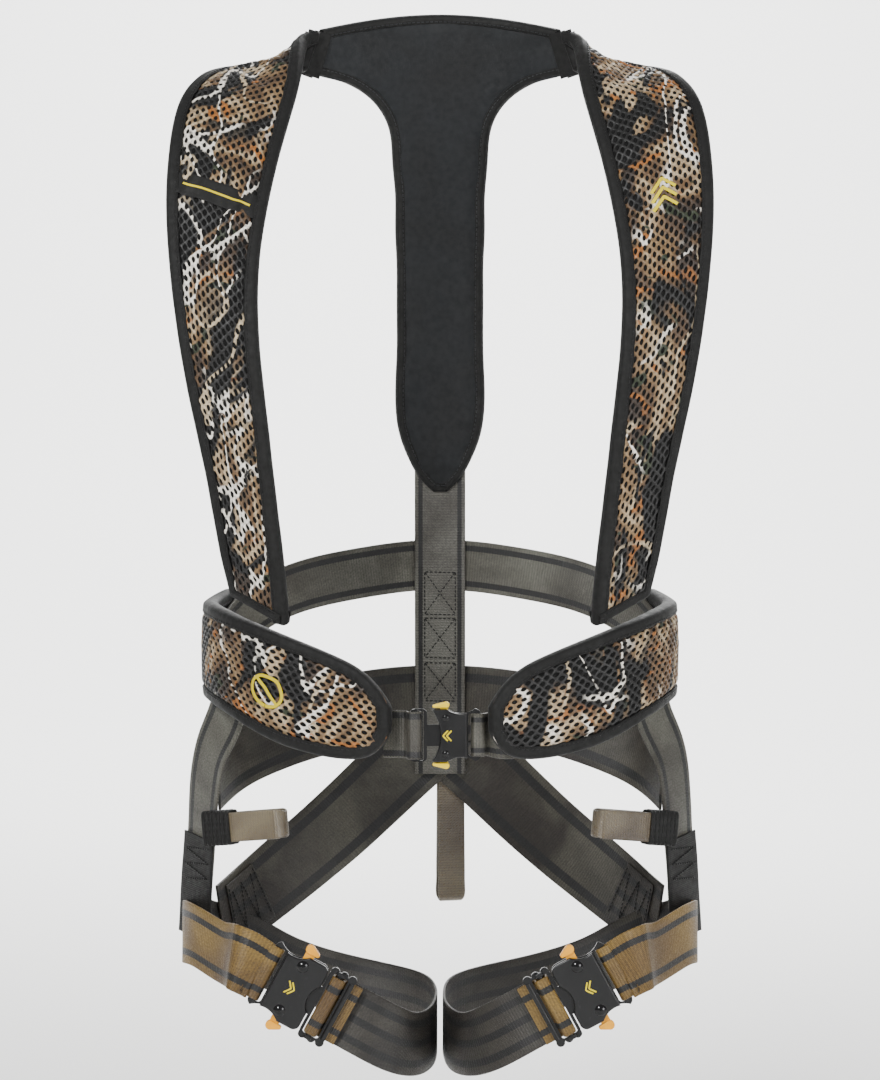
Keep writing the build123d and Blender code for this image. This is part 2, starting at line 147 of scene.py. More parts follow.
def around(cx, cy, rx, ry, power=1.0):
    """Outward direction from an upright oval body; a higher power gives it flatter sides."""
    def outward(points):
        x = (points[..., 0] - cx) / rx
        y = (points[..., 1] - cy) / ry
        out = np.stack([x * abs(x) ** (power - 1) / rx, y * abs(y) ** (power - 1) / ry, 0 * x], axis=-1)
        return unit(out)
    return outward


TORSO = around(0, 0, 165, 108)
THIGH = around(-91, 0, 92, 98, power=2.5)


# ---------------------------------------------------------------- meshes
def build(name, verts, faces, material, loops_uv=None):
    """A smooth-shaded object, with its faces turned outward."""
    mesh = bpy.data.meshes.new(name)
    mesh.from_pydata((np.asarray(verts) * MM).tolist(), [], faces)
    if loops_uv is not None:
        layer = mesh.uv_layers.new(name="UVMap")
        layer.data.foreach_set("uv", (np.asarray(loops_uv) * MM).astype(np.float32).ravel())
    form = bmesh.new()
    form.from_mesh(mesh)
    bmesh.ops.recalc_face_normals(form, faces=form.faces)
    form.to_mesh(mesh)
    form.free()
    mesh.materials.append(material)
    mesh.shade_smooth()
    obj = bpy.data.objects.new(name, mesh)
    bpy.context.scene.collection.objects.link(obj)
    return obj


def skin(name, rings, across, along, material, loop=False):
    """A skin over rings of points; across and along are the fabric's own coordinates."""
    n, m = rings.shape[:2]
    i, j = np.meshgrid(np.arange(n if loop else n - 1), np.arange(m), indexing="ij")
    below, right = (i + 1) % n, (j + 1) % m
    quads = np.stack([i * m + j, i * m + right, below * m + right, below * m + j], axis=-1).reshape(-1, 4)
    side = np.append(across, across[-1] + 1)
    travel = np.append(along, 2 * along[-1] - along[-2])
    corners = [(side[j], travel[i]), (side[j + 1], travel[i]), (side[j + 1], travel[i + 1]),
               (side[j], travel[i + 1])]
    uv = np.stack([np.stack(c, axis=-1) for c in corners], axis=-2).reshape(-1, 2)
    faces = quads.tolist()
    if not loop:
        faces += [list(range(m))[::-1], list(range((n - 1) * m, n * m))]
        first = np.stack([across[::-1], np.full(m, along[0])], axis=1)
        last = np.stack([across, np.full(m, along[-1])], axis=1)
        uv = np.concatenate([uv, first, last])
    return build(name, rings.reshape(-1, 3), faces, material, uv)


def flat_section(width, thickness, columns):
    """Outline of webbing with round edges: places across it, and -1 to 1 through it."""
    r = thickness / 2
    top = np.linspace(-(width / 2 - r), width / 2 - r, columns)
    turn = np.linspace(math.pi / 2, -math.pi / 2, 5)[1:-1]
    edge = width / 2 - r + r * np.cos(turn)
    across = np.concatenate([top, edge, top[::-1], -edge])
    through = np.concatenate([np.ones(columns), np.sin(turn), -np.ones(columns), -np.sin(turn)])
    return across, through


def strap(name, points, across, width, material, lift=0.0, thickness=WEB, ribs=0.16, wave=0.12, step=0.5):
    """Webbing along a row of points. It has woven cross ribs, and its edges wander a little."""
    points = np.asarray(points, float)
    width = np.broadcast_to(np.asarray(width, float), (len(points),))
    travel = arc(points)
    at = np.arange(0, travel[-1], step)
    fine = spline(travel, np.column_stack([points, across, width]), at)
    centre, side, wide = fine[:, :3], unit(fine[:, 3:6]), fine[:, 6]
    up = unit(np.cross(side, headings(centre)))
    side = np.cross(headings(centre), up)
    place, through = flat_section(1.0, thickness / wide.mean(), 13)
    rib = ribs * (np.abs(np.sin(math.pi * at / 2.0)) ** 0.7 - 0.5)
    half = (thickness / 2 + rib)[:, None] * through
    edge = wave * np.sin(at / 8.3 + len(name))[:, None] * (2 * place) ** 3
    height = lift + thickness / 2 + half + edge
    spread = wide[:, None] * place
    rings = centre[:, None] + side[:, None] * spread[..., None] + up[:, None] * height[..., None]
    return skin(name, rings, place * wide.mean(), at, material)


def band(name, knots, outward, width, material, count=24, **more):
    """Webbing on a smooth curve, its face turned outward."""
    points = smooth(knots, count)
    return strap(name, points, crosswise(points, outward), width, material, **more)


def side_strap(name, points, across, width, material, side, **more):
    """Webbing for one side of the wearer, worked out on the right."""
    return strap(name, points * side, across * side * side[0], width, material, **more)


def stitches(name, runs, material, radius=0.3):
    """Thread: rows of short rounded stitches whose ends dip into the fabric."""
    rings = []
    turn = np.linspace(0, 2 * math.pi, 6, endpoint=False)
    girth = radius * np.array([0.45, 1.0, 1.0, 0.45])
    rise = radius * np.array([-0.7, 0.45, 0.45, -0.7])
    for points, normals in runs:
        travel = arc(points)
        start = np.arange(STITCH_GAP / 2, travel[-1] - STITCH, STITCH + STITCH_GAP)
        at = start[:, None] + np.array([0.0, 0.14, 0.86, 1.0]) * STITCH
        centre, normal = rows_at(at, travel, points), unit(rows_at(at, travel, normals))
        ahead = unit(centre[:, 3:] - centre[:, :1])
        side = unit(np.cross(normal, ahead))
        round_it = np.cos(turn)[:, None] * side[:, :, None] + np.sin(turn)[:, None] * normal[:, :, None]
        rings.append((centre + normal * rise[:, None])[:, :, None] + round_it * girth[:, None, None])
    rings = np.concatenate(rings)
    first = np.arange(len(rings))[:, None, None] * 24
    quads = [[r + j, r + (j + 1) % 6, r + 6 + (j + 1) % 6, r + 6 + j] for r in (0, 6, 12) for j in range(6)]
    ends = [[5, 4, 3, 2, 1, 0], [18, 19, 20, 21, 22, 23]]
    faces = (first + np.array(quads)).reshape(-1, 4).tolist()
    caps = (first + np.array(ends)).reshape(-1, 6).tolist()
    return build(name, rings.reshape(-1, 3), faces + caps, material)


def tape(name, edge, faces, inside, low, high, lip, material, loop=False):
    """Binding tape folded round an edge, and its two rows of stitching: (tape, stitch runs)."""
    travel = arc(np.vstack([edge, edge[:1]]) if loop else edge)[:len(edge)]
    ahead = unit(np.roll(edge, -1, axis=0) - np.roll(edge, 1, axis=0)) if loop else headings(edge)
    into = unit(np.cross(faces, ahead))
    if np.sum(into * (inside - edge)) < 0:
        into = -into
    middle, reach = (low + high) / 2, (high - low) / 2
    turn = np.linspace(math.pi / 2, -math.pi / 2, 9)
    bulge = 0.55 * reach
    outer = [(lip - 0.2, high - TAPE * 0.5), (lip - 0.8, high)]
    outer += [(bulge + (lip - 1.6 - bulge) * t, high + 0.15 * math.sin(math.pi * t)) for t in (1.0, 0.5)]
    outer += [(bulge * (1 - math.cos(a)), middle + reach * math.sin(a)) for a in turn]
    outer += [(bulge + (lip - 1.6 - bulge) * t, low - 0.15 * math.sin(math.pi * t)) for t in (0.5, 1.0)]
    outer += [(lip - 0.8, low), (lip - 0.2, low + TAPE * 0.5)]
    inner = [(lip - 0.8, low + TAPE), (bulge + TAPE, low + TAPE), (TAPE, middle), (bulge + TAPE, high - TAPE),
             (lip - 0.8, high - TAPE)]
    profile = np.array(outer + inner)
    pucker = 1 + 0.03 * np.sin(travel / 2.9)[:, None] * np.linspace(-1, 1, len(profile)) ** 2
    u = profile[:, 0] * pucker
    v = profile[:, 1] + 0.12 * np.sin(travel / 6.1)[:, None]
    rings = edge[:, None] + into[:, None] * u[..., None] + faces[:, None] * v[..., None]
    girth = arc(profile)
    body = skin(name, rings, girth, travel, material, loop)
    runs = []
    for level, sign in ((high + 0.1, 1), (low - 0.1, -1)):
        line = edge + into * (lip - 2.0) + faces * level
        normals = faces * sign
        if loop:
            line, normals = np.vstack([line, line[:1]]), np.vstack([normals, normals[:1]])
        runs.append((line, normals))
    return body, runs


def surface_point(grid, row, column):
    """Points of the smooth surface through a grid, at fractional rows and columns."""
    n, m = grid.shape[:2]
    i = np.clip(np.floor(row).astype(int), 0, n - 2)
    j = np.clip(np.floor(column).astype(int), 0, m - 2)

    def weights(f):
        return (-0.5 * f**3 + f**2 - 0.5 * f, 1.5 * f**3 - 2.5 * f**2 + 1,
                -1.5 * f**3 + 2 * f**2 + 0.5 * f, 0.5 * f**3 - 0.5 * f**2)

    total = 0
    for a, by_row in enumerate(weights(row - i)):
        for b, by_column in enumerate(weights(column - j)):
            near = grid[np.clip(i + a - 1, 0, n - 1), np.clip(j + b - 1, 0, m - 1)]
            total = total + (by_row * by_column)[..., None] * near
    return total


def puff(rings, pinned, pressure, limit, grow=0.015):
    """Blows a closed form up with a short cloth simulation and returns its points.

    Pinned points stay, and no point moves further than limit.
    """
    body = skin("pad_to_blow_up", rings, np.arange(rings.shape[1]), np.arange(rings.shape[0]), fabric_core)
    group = body.vertex_groups.new(name="pinned")
    group.add(np.flatnonzero(pinned.ravel()).tolist(), 1.0, "REPLACE")
    cloth = body.modifiers.new("Cloth", "CLOTH")
    cloth.settings.quality = 6
    cloth.settings.mass = 0.15
    cloth.settings.tension_stiffness = 12
    cloth.settings.compression_stiffness = 12
    cloth.settings.bending_stiffness = 0.05
    cloth.settings.shrink_min = -grow
    cloth.settings.use_pressure = True
    cloth.settings.uniform_pressure_force = pressure
    cloth.settings.vertex_group_mass = "pinned"
    cloth.settings.effector_weights.gravity = 0.0
    cloth.point_cache.frame_start, cloth.point_cache.frame_end = 1, SIM_FRAMES
    for step in range(1, SIM_FRAMES + 1):
        bpy.context.scene.frame_set(step)
    ready = body.evaluated_get(bpy.context.evaluated_depsgraph_get())
    moved = np.empty(rings.size, np.float32)
    ready.data.vertices.foreach_get("co", moved)
    bpy.data.objects.remove(body)
    bpy.context.scene.frame_set(1)
    shift = moved.reshape(rings.shape) / MM - rings
    size = np.linalg.norm(shift, axis=-1, keepdims=True)
    return rings + shift * np.minimum(1.0, limit / np.maximum(size, 1e-6))


# ---------------------------------------------------------------- materials
def tone(red, green, blue):
    """A screen colour, 0 to 255, as the shader wants it."""
    screen = (red / 255, green / 255, blue / 255)
    return (*[c / 12.92 if c <= 0.04045 else ((c + 0.055) / 1.055) ** 2.4 for c in screen], 1.0)


class Shader:
    """One procedural material and short calls that add its nodes."""

    def __init__(self, name, roughness=0.6, metallic=0.0, specular=0.5, sheen=0.0, coat=0.0):
        self.material = bpy.data.materials.new(name)
        self.material.use_nodes = True
        self.tree = self.material.node_tree
        self.base = self.tree.nodes["Principled BSDF"]
        self.set("Roughness", roughness)
        self.set("Metallic", metallic)
        self.set("Specular IOR Level", specular)
        self.set("Sheen Weight", sheen)
        self.set("Coat Weight", coat)

    def set(self, socket, value):
        self.feed(self.base.inputs[socket], value)

    def feed(self, socket, value):
        if isinstance(value, bpy.types.NodeSocket):
            self.tree.links.new(value, socket)
        elif value is not None:
            socket.default_value = value

    def node(self, kind, inputs, **settings):
        node = self.tree.nodes.new(kind)
        for key, value in settings.items():
            setattr(node, key, value)
        for key, value in inputs.items():
            self.feed(node.inputs[key], value)
        return node

    def math(self, operation, *values):
        return self.node("ShaderNodeMath", dict(enumerate(values)), operation=operation).outputs[0]

    def fabric(self):
        """Places across and along the fabric, in metres."""
        where = self.node("ShaderNodeTexCoord", {}).outputs["UV"]
        return self.node("ShaderNodeSeparateXYZ", {0: where}).outputs[:2]

    def place(self, stretch=(1.0, 1.0, 1.0), turn=(0.0, 0.0, 0.0)):
        """The place in the row frame, in metres, stretched for long or short patches."""
        where = self.node("ShaderNodeTexCoord", {}).outputs["Object"]
        inputs = {"Vector": where, "Scale": stretch, "Rotation": turn}
        return self.node("ShaderNodeMapping", inputs).outputs[0]

    def noise(self, scale, detail=3.0, distortion=0.0, at=None):
        inputs = {"Scale": scale, "Detail": detail, "Distortion": distortion, "Vector": at or self.place()}
        return self.node("ShaderNodeTexNoise", inputs).outputs["Fac"]

    def ramp(self, value, stops):
        node = self.node("ShaderNodeValToRGB", {"Fac": value})
        for k, (position, colour) in enumerate(stops):
            stop = node.color_ramp.elements[k] if k < 2 else node.color_ramp.elements.new(position)
            stop.position, stop.color = position, colour
        return node.outputs[0]

    def between(self, value, low, high, to_low=0.0, to_high=1.0):
        inputs = {"Value": value, "From Min": low, "From Max": high, "To Min": to_low, "To Max": to_high}
        return self.node("ShaderNodeMapRange", inputs).outputs[0]

    def mix(self, amount, first, second):
        node = self.node("ShaderNodeMix", {}, data_type="RGBA")
        for socket, value in zip((node.inputs[0], node.inputs[6], node.inputs[7]), (amount, first, second)):
            self.feed(socket, value)
        return node.outputs[2]

    def waves(self, value, pitch):
        """0 to 1 and back once per pitch."""
        return self.between(self.math("SINE", self.math("MULTIPLY", value, 2 * math.pi / pitch)), -1.0, 1.0)

    def bump(self, height, distance, strength=1.0):
        node = self.node("ShaderNodeBump", {"Strength": strength, "Distance": distance, "Height": height})
        self.set("Normal", node.outputs[0])


def webbing(name, base, shade, stripe_at=None, stripe_half=None, centre=False, roughness=0.42, glint=0.5):
    """Polyester webbing: cross ribs of twisted yarn with painted shade in their troughs, and stripes near the
    edges or also in the centre.
    """
    s = Shader(name, roughness=roughness, specular=glint, sheen=0.03)
    across, along = s.fabric()
    cloud = s.between(s.noise(16.0, 4.0, 0.6), 0.36, 0.64)
    colour = s.mix(cloud, shade, base)
    yarn = s.waves(s.math("ADD", across, s.math("MULTIPLY", along, 0.55)), 0.0011)
    rib = s.waves(along, 0.002)
    # Painted shade and highlight: the colour is darkened in the troughs between yarns and ribs and lightened
    # on their crests.
    weave_shade = s.math("MULTIPLY", s.between(yarn, 0.0, 1.0, 0.62, 1.12), s.between(rib, 0.0, 1.0, 0.8, 1.08))
    fleck = s.between(s.noise(900.0, 1.0), 0.3, 0.75, 0.72, 1.25)
    light = s.math("MULTIPLY", weave_shade, fleck)
    bright = s.node("ShaderNodeHueSaturation", {"Value": light, "Color": colour}).outputs[0]
    if stripe_at:
        from_middle = s.math("ABSOLUTE", across)
        from_line = s.math("ABSOLUTE", s.math("SUBTRACT", from_middle, stripe_at * MM))
        if centre:
            from_line = s.math("MINIMUM", from_line, from_middle)
        ragged = s.math("ADD", from_line, s.math("MULTIPLY", rib, 0.0003))
        inside = s.between(ragged, stripe_half * MM, (stripe_half + 0.35) * MM, 1.0, 0.0)
        bright = s.mix(inside, bright, tone(4, 4, 4))
    s.set("Base Color", bright)
    s.set("Roughness", s.between(fleck, 0.72, 1.25, roughness + 0.16, roughness - 0.08))
    s.bump(s.math("ADD", yarn, s.math("MULTIPLY", fleck, 0.5)), 0.00025, 0.8)
    return s.material


def camouflage(name):
    """Strands printed with a bark, leaf and twig pattern of this model's own."""
    s = Shader(name, roughness=0.5, specular=0.5, sheen=0.05)
    bark_place = s.place((1.0, 1.0, 0.45), (0.0, 0.35, 0.0))
    ground = s.ramp(s.noise(24.0, 6.0, 0.9, bark_place), [
        (0.0, tone(12, 9, 6)), (0.38, tone(44, 31, 19)), (0.44, tone(92, 68, 42)), (0.50, tone(132, 106, 72)),
        (0.55, tone(184, 164, 132)), (0.60, tone(108, 80, 50)), (0.67, tone(44, 38, 28))])
    leaves = s.noise(26.0, 1.0, 2.0, s.place((1.0, 1.0, 1.3), (0.3, -0.5, 0.2)))
    colour = s.mix(s.between(leaves, 0.62, 0.66), ground, tone(150, 92, 34))
    colour = s.mix(s.between(leaves, 0.35, 0.32), colour, tone(34, 42, 20))
    shadow_place = s.place((1.0, 1.0, 0.55), (0.0, -0.6, 0.4))
    shadow = s.between(s.noise(17.0, 3.0, 1.4, shadow_place), 0.53, 0.56)
    colour = s.mix(shadow, colour, tone(6, 5, 4))
    white, dark, cream = tone(238, 232, 220), tone(5, 4, 3), tone(186, 168, 138)
    twigs = ((9.0, 0.9, 0.009, dark), (11.0, -0.8, 0.006, white), (8.0, 0.2, 0.005, cream),
             (13.0, 0.5, 0.006, white))
    for scale, turn, width, paint in twigs:
        twig_place = s.place((1.0, 1.0, 0.6), (0.0, turn, 0.0))
        ridge = s.math("ABSOLUTE", s.math("SUBTRACT", s.noise(scale, 2.0, 0.8, twig_place), 0.5))
        part = s.between(s.noise(scale * 1.7, 1.0, 0.0, twig_place), 0.44, 0.5)
        colour = s.mix(s.math("MULTIPLY", s.between(ridge, width * 1.7, width), part), colour, paint)
    fibre = s.between(s.noise(620.0, 2.0), 0.25, 0.8, 0.5, 1.35)
    s.set("Base Color", s.node("ShaderNodeHueSaturation", {"Value": fibre, "Color": colour}).outputs[0])
    s.set("Roughness", s.between(fibre, 0.5, 1.35, 0.62, 0.38))
    s.bump(fibre, 0.0002, 0.7)
    return s.material


def woven(name, base, shade, pitch=0.0007, roughness=0.7, depth=0.0001):
    """Fine plain-woven fabric or tape."""
    s = Shader(name, roughness=roughness, specular=0.3, sheen=0.04)
    across, along = s.fabric()
    thread = s.math("MULTIPLY", s.waves(across, pitch), s.waves(along, pitch))
    cloud = s.between(s.noise(22.0, 5.0, 0.4), 0.35, 0.65)
    s.set("Base Color", s.mix(cloud, shade, base))
    s.set("Roughness", s.between(s.noise(240.0, 2.0), 0.3, 0.7, roughness - 0.1, roughness + 0.08))
    s.bump(s.math("ADD", thread, s.math("MULTIPLY", s.noise(600.0, 2.0), 0.5)), depth, 0.8)
    return s.material


def moulded(name, base, scuffed, metallic=0.0, roughness=0.4, coat=0.0):
    """Coated metal or moulded plastic: fine texture, uneven gloss and a few light scuffs."""
    s = Shader(name, roughness=roughness, metallic=metallic, coat=coat)
    haze = s.noise(60.0, 4.0, 0.5)
    lighter = tuple(min(1.0, c * 1.3) for c in base[:3]) + (1.0,)
    colour = s.mix(s.between(haze, 0.3, 0.7), base, lighter)
    scuff = s.between(s.noise(420.0, 5.0, 1.5, s.place((1.0, 0.3, 0.25), (0.4, 0.2, 0.0))), 0.66, 0.74)
    s.set("Base Color", s.mix(s.math("MULTIPLY", scuff, 0.5), colour, scuffed))
    s.set("Roughness", s.between(haze, 0.3, 0.7, roughness - 0.07, roughness + 0.1))
    s.bump(s.noise(1600.0, 2.0), 0.00004, 0.6)
    return s.material


GREY, GREY_SHADE = tone(94, 93, 83), tone(54, 50, 42)
webbing_main = webbing("webbing_main", GREY, GREY_SHADE, 13.2, 2.1)
webbing_spine = webbing("webbing_spine", tone(98, 97, 90), tone(58, 54, 48), 14.6, 1.6)
# Painted shade: the seat webbing's colours are darkened and browned to stand for the shade on the seat band
# and seat straps.
webbing_seat_painted_shade = webbing("webbing_seat_painted_shade", tone(70, 67, 57), tone(30, 23, 16), 19.5, 3.3)
webbing_olive = webbing("webbing_olive", tone(128, 101, 42), tone(86, 61, 20), 13.4, 2.3)
webbing_dark = webbing("webbing_dark", tone(54, 50, 43), tone(26, 21, 16), 14.0, 2.6, centre=True)
webbing_loop = webbing("webbing_loop", tone(118, 106, 82), tone(70, 56, 36), roughness=0.3, glint=0.8)
webbing_tether = webbing("webbing_tether", tone(36, 36, 33), tone(20, 20, 18))
fabric_core = woven("fabric_core", tone(7, 7, 6), tone(3, 3, 3), 0.0012, 0.9)
fabric_panel = woven("fabric_panel", tone(17, 20, 23), tone(12, 14, 16), 0.0008, 0.62)
fabric_tape = woven("fabric_tape", tone(13, 13, 12), tone(8, 8, 7), 0.0009, 0.66, 0.00014)
fabric_sleeve = woven("fabric_sleeve", tone(12, 11, 10), tone(6, 6, 5), 0.0014, 0.6, 0.0003)
fabric_patch = woven("fabric_patch", tone(12, 12, 11), tone(8, 8, 7), 0.0006, 0.6)
camo = camouflage("camo_print")
thread_black = woven("thread_black", tone(8, 8, 8), tone(4, 4, 4), 0.0003, 0.5)
thread_grey = woven("thread_grey", tone(34, 37, 39), tone(24, 26, 28), 0.0003, 0.5)
mark_yellow = woven("mark_yellow", tone(228, 206, 18), tone(200, 178, 12), 0.0004, 0.5)
buckle_black = moulded("buckle_black", tone(11, 11, 12), tone(52, 52, 54), 0.25, 0.36, 0.15)
plug_black = moulded("plug_black", tone(9, 9, 10), tone(44, 44, 46), 0.3, 0.33, 0.15)
rivet_black = moulded("rivet_black", tone(10, 10, 11), tone(60, 60, 62), 0.6, 0.2, 0.4)
tab_lemon = moulded("tab_lemon", tone(226, 192, 8), tone(236, 214, 70), roughness=0.4, coat=0.1)
tab_amber = moulded("tab_amber", tone(220, 150, 2), tone(230, 176, 50), roughness=0.4, coat=0.1)
steel = moulded("spring_steel", tone(170, 172, 176), tone(220, 222, 226), metallic=1.0, roughness=0.25)


# ---------------------------------------------------------------- putting pieces on the frame
def dress(obj, slot, *nodes, body="harness"):
    """The piece moves with a body and stands for CAD nodes, which it hides. The slot is not used."""
    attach(obj, body)
    if nodes:
        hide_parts(*nodes)
    return obj


def soften(obj):
    more = obj.modifiers.new("Subdivision", "SUBSURF")
    more.levels = more.render_levels = 1


# ---------------------------------------------------------------- padded strips
def pad_rows(outer, inner, outward, count):
    """The two long edges of a pad, matched row by row, and the way its face looks."""
    a, b = smooth(outer, count), smooth(inner, count)
    middle = (a + b) / 2
    face = unit(np.cross(headings(middle), a - b))
    return a, b, face * np.sign(np.sum(face * outward(middle)))


class Pad:
    """Foam strip in a mesh cover: its rows, its blown-up surface and places on its face."""
    COLUMNS = 13

    def __init__(self, outer, inner, count, pressure):
        self.a, self.b, self.face = pad_rows(outer, inner, TORSO, count)
        self.travel = arc((self.a + self.b) / 2)
        self.length = self.travel[-1]
        share = np.linspace(-1, 1, self.COLUMNS)
        crown = 1 - share**4
        edge = (self.a + self.b) / 2
        reach = (self.b - self.a) / 2
        side = edge[:, None] + reach[:, None] * (share * 0.965)[:, None]
        front = side + self.face[:, None] * (-1.3 + 1.5 * crown)[:, None]
        back = side + self.face[:, None] * (-PAD + 1.4 - 1.4 * crown)[:, None]
        rings = np.concatenate([front, back[:, ::-1]], axis=1)
        pinned = np.zeros(rings.shape[:2], bool)
        pinned[:, [0, 1, self.COLUMNS - 2, self.COLUMNS - 1]] = True
        pinned[:, [self.COLUMNS, self.COLUMNS + 1, -2, -1]] = True
        pinned[[0, 1, -2, -1]] = True
        self.rings = puff(rings, pinned, pressure, 2.2)
        self.front = self.rings[:, :self.COLUMNS]

    def on_face(self, across, along, lift=0.0):
        """Points of the front face, and their normals, from millimetres across and along it."""
        across, along = np.asarray(across, float), np.asarray(along, float)
        row = along / self.length * (len(self.a) - 1)
        width = np.interp(row, np.arange(len(self.a)), np.linalg.norm(self.b - self.a, axis=1)) * 0.965
        column = (across / width + 0.5) * (self.COLUMNS - 1)
        step = 0.25
        d_row = surface_point(self.front, row + step, column) - surface_point(self.front, row - step, column)
        d_column = (surface_point(self.front, row, column + step)
                    - surface_point(self.front, row, column - step))
        normal = unit(np.cross(d_row, d_column))
        face = self.face[np.clip(np.round(row).astype(int), 0, len(self.a) - 1)]
        normal = normal * np.sign(np.sum(normal * face, axis=-1, keepdims=True))
        return surface_point(self.front, row, column) + normal * np.asarray(lift)[..., None], normal

    def width_at(self, along):
        return np.interp(along, self.travel, np.linalg.norm(self.b - self.a, axis=1))


HOLE_PITCH = (3.4, 3.6)      # half of a mesh cell, across and along the pad
HOLE = (1.35, 2.25)          # half of its oval hole
CORNERS = 12                 # points round a hole


def mesh_face(name, pad, side, edge_gap):
    """Open mesh: staggered oval holes in rounded strands, laid on the pad's face."""
    half_x, half_s = HOLE_PITCH
    corner = np.array([(1, 0), (0, 1), (-1, 0), (0, -1), (1, 0)], float)
    third = CORNERS // 4
    part = np.arange(third)[:, None] / third
    rim = np.concatenate([corner[k] + (corner[k + 1] - corner[k]) * part for k in range(4)])
    turn = np.arctan2(rim[:, 1] * half_s, rim[:, 0] * half_x)
    oval = np.stack([np.cos(turn) * HOLE[0], np.sin(turn) * HOLE[1]], axis=1)
    cell = rim * HOLE_PITCH
    layers = [(cell, 0.95), (0.45 * cell + 0.55 * oval, 0.85), (oval, 0.45), (oval * 0.97, -0.15)]
    centres = []
    for k in range(int(pad.length / half_s) + 1):
        along = k * half_s + 1.0
        limit = pad.width_at(along) / 2 - edge_gap
        columns = np.arange(-12, 13) * 2 * half_x + (k % 2) * half_x
        centres += [(x, along) for x in columns if abs(x) < limit - half_x * 0.2]
    centres = np.array([c for c in centres if edge_gap < c[1] < pad.length - edge_gap])
    points = []
    for outline, lift in layers:
        at = centres[:, None] + outline
        to_side = pad.width_at(at[..., 1]) / 2 - abs(at[..., 0])
        to_end = np.minimum(at[..., 1], pad.length - at[..., 1])
        tucked = np.clip((np.minimum(to_side, to_end) - LIP + 0.5) / 3.5, 0.0, 1.0)
        points.append(pad.on_face(at[..., 0], at[..., 1], lift * tucked + 0.1 * lift * (1 - tucked))[0])
    verts = np.stack(points, axis=1)
    ring = np.arange(len(centres))[:, None, None] * len(layers) * CORNERS
    ring = ring + np.arange(len(layers) - 1)[:, None] * CORNERS
    j, right = np.arange(CORNERS), (np.arange(CORNERS) + 1) % CORNERS
    quads = np.stack([ring + j, ring + right, ring + CORNERS + right, ring + CORNERS + j], axis=-1)
    obj = build(name, verts.reshape(-1, 3) * side, quads.reshape(-1, 4).tolist(), camo)
    form = bmesh.new()
    form.from_mesh(obj.data)
    bmesh.ops.remove_doubles(form, verts=form.verts, dist=0.05 * MM)
    bmesh.ops.recalc_face_normals(form, faces=form.faces)
    form.to_mesh(obj.data)
    form.free()
    return obj


def cut_corners(rows):
    """A closed row with each corner cut at a quarter of its sides."""
    after = np.roll(rows, -1, axis=0)
    return np.stack([rows * 0.75 + after * 0.25, rows * 0.25 + after * 0.75], axis=1).reshape(-1, 3)


def closed_edge(pad):
    """The pad's rim as one closed row of points with softened corners, and its faces."""
    def cap(p, q, face_p, face_q):
        t = np.linspace(0, 1, 8)[1:-1, None]
        return p + (q - p) * t, unit(face_p + (face_q - face_p) * t)

    far, far_face = cap(pad.a[-1], pad.b[-1], pad.face[-1], pad.face[-1])
    near, near_face = cap(pad.b[0], pad.a[0], pad.face[0], pad.face[0])
    edge = np.vstack([pad.a, far, pad.b[::-1], near])
    face = np.vstack([pad.face, far_face, pad.face[::-1], near_face])
    for _ in range(3):
        edge, face = cut_corners(edge), cut_corners(face)
    return edge, unit(face)


def ribbon(name, pad, path, width, material, side, lift=1.1, thickness=0.7, count=40):
    """A flat ribbon or mark laid on a pad's face along a path given across and along it."""
    path = np.asarray(path, float)
    travel = arc(path)
    at = np.linspace(0, travel[-1], count)
    x, y = (np.interp(at, travel, path[:, i]) for i in (0, 1))
    points, normals = pad.on_face(x, y, np.full(count, lift))
    across = unit(np.cross(headings(points), normals))
    return strap(name, points * side, across * side, width, material, thickness=thickness, ribs=0.0, wave=0.0)


def pad_set(kind, pad, slot_gap):
    """Foam, mesh, binding and stitching of one pad, on both sides of the wearer."""
    edge, face = closed_edge(pad)
    centre = edge.mean(axis=0)
    for name, side in MIRROR.items():
        across = np.tile(np.linspace(0, 50, Pad.COLUMNS), 2)
        core = skin(f"{kind}_pad_{name}_core", pad.rings * side, across, pad.travel, fabric_core)
        soften(core)
        dress(core, "pad_foam", f"{kind}_pad_{name}")
        dress(mesh_face(f"{kind}_mesh_{name}_holes", pad, side, slot_gap), "camo_mesh", f"{kind}_mesh_{name}")
        trim, runs = tape(f"{kind}_binding_{name}_tape", edge * side, face * side, centre * side,
                          -PAD - 0.3, TAPE + 0.8, LIP, fabric_tape, loop=True)
        dress(trim, "binding_tape", f"{kind}_binding_{name}")
        dress(stitches(f"{kind}_stitching_{name}", runs, thread_black), "binding_tape")


SHOULDER_OUTER = [(-99, 52, 468), (-124, 50, 469), (-153, 35, 470), (-173, 8, 462), (-185, -22, 442),
                  (-190, -48, 408), (-191, -68, 366), (-188, -80, 321), (-182, -86, 274), (-174, -87, 229),
                  (-163, -83, 176), (-153, -75, 119), (-147, -69, 93)]
SHOULDER_INNER = [(-89, 56, 498), (-97, 48, 498), (-100, 30, 490), (-100, 5, 468), (-105, -20, 437),
                  (-113, -44, 402), (-121, -68, 360), (-126, -90, 314), (-125, -99, 265), (-120, -101, 216),
                  (-115, -101, 163), (-110, -98, 110), (-108, -94, 73)]
WAIST_TOP = [(-157, 42, 92), (-168, 5, 87), (-163, -35, 85), (-146, -66, 80), (-107, -93, 67),
             (-74, -107, 55), (-56, -114, 46), (-44, -118, 35), (-35, -121.5, 21)]
WAIST_BOTTOM = [(-158, 42, 13), (-169, 5, 17), (-162, -35, 14), (-147, -66, 8), (-117, -93, -6),
                (-91, -107, -13), (-69, -114, -16), (-47, -118, -13), (-35, -121.5, 3)]
shoulder = Pad(SHOULDER_OUTER, SHOULDER_INNER, 84, pressure=2.0)
waist = Pad(WAIST_TOP, WAIST_BOTTOM, 36, pressure=2.5)
pad_set("shoulder", shoulder, 5.0)
pad_set("waist", waist, 5.0)


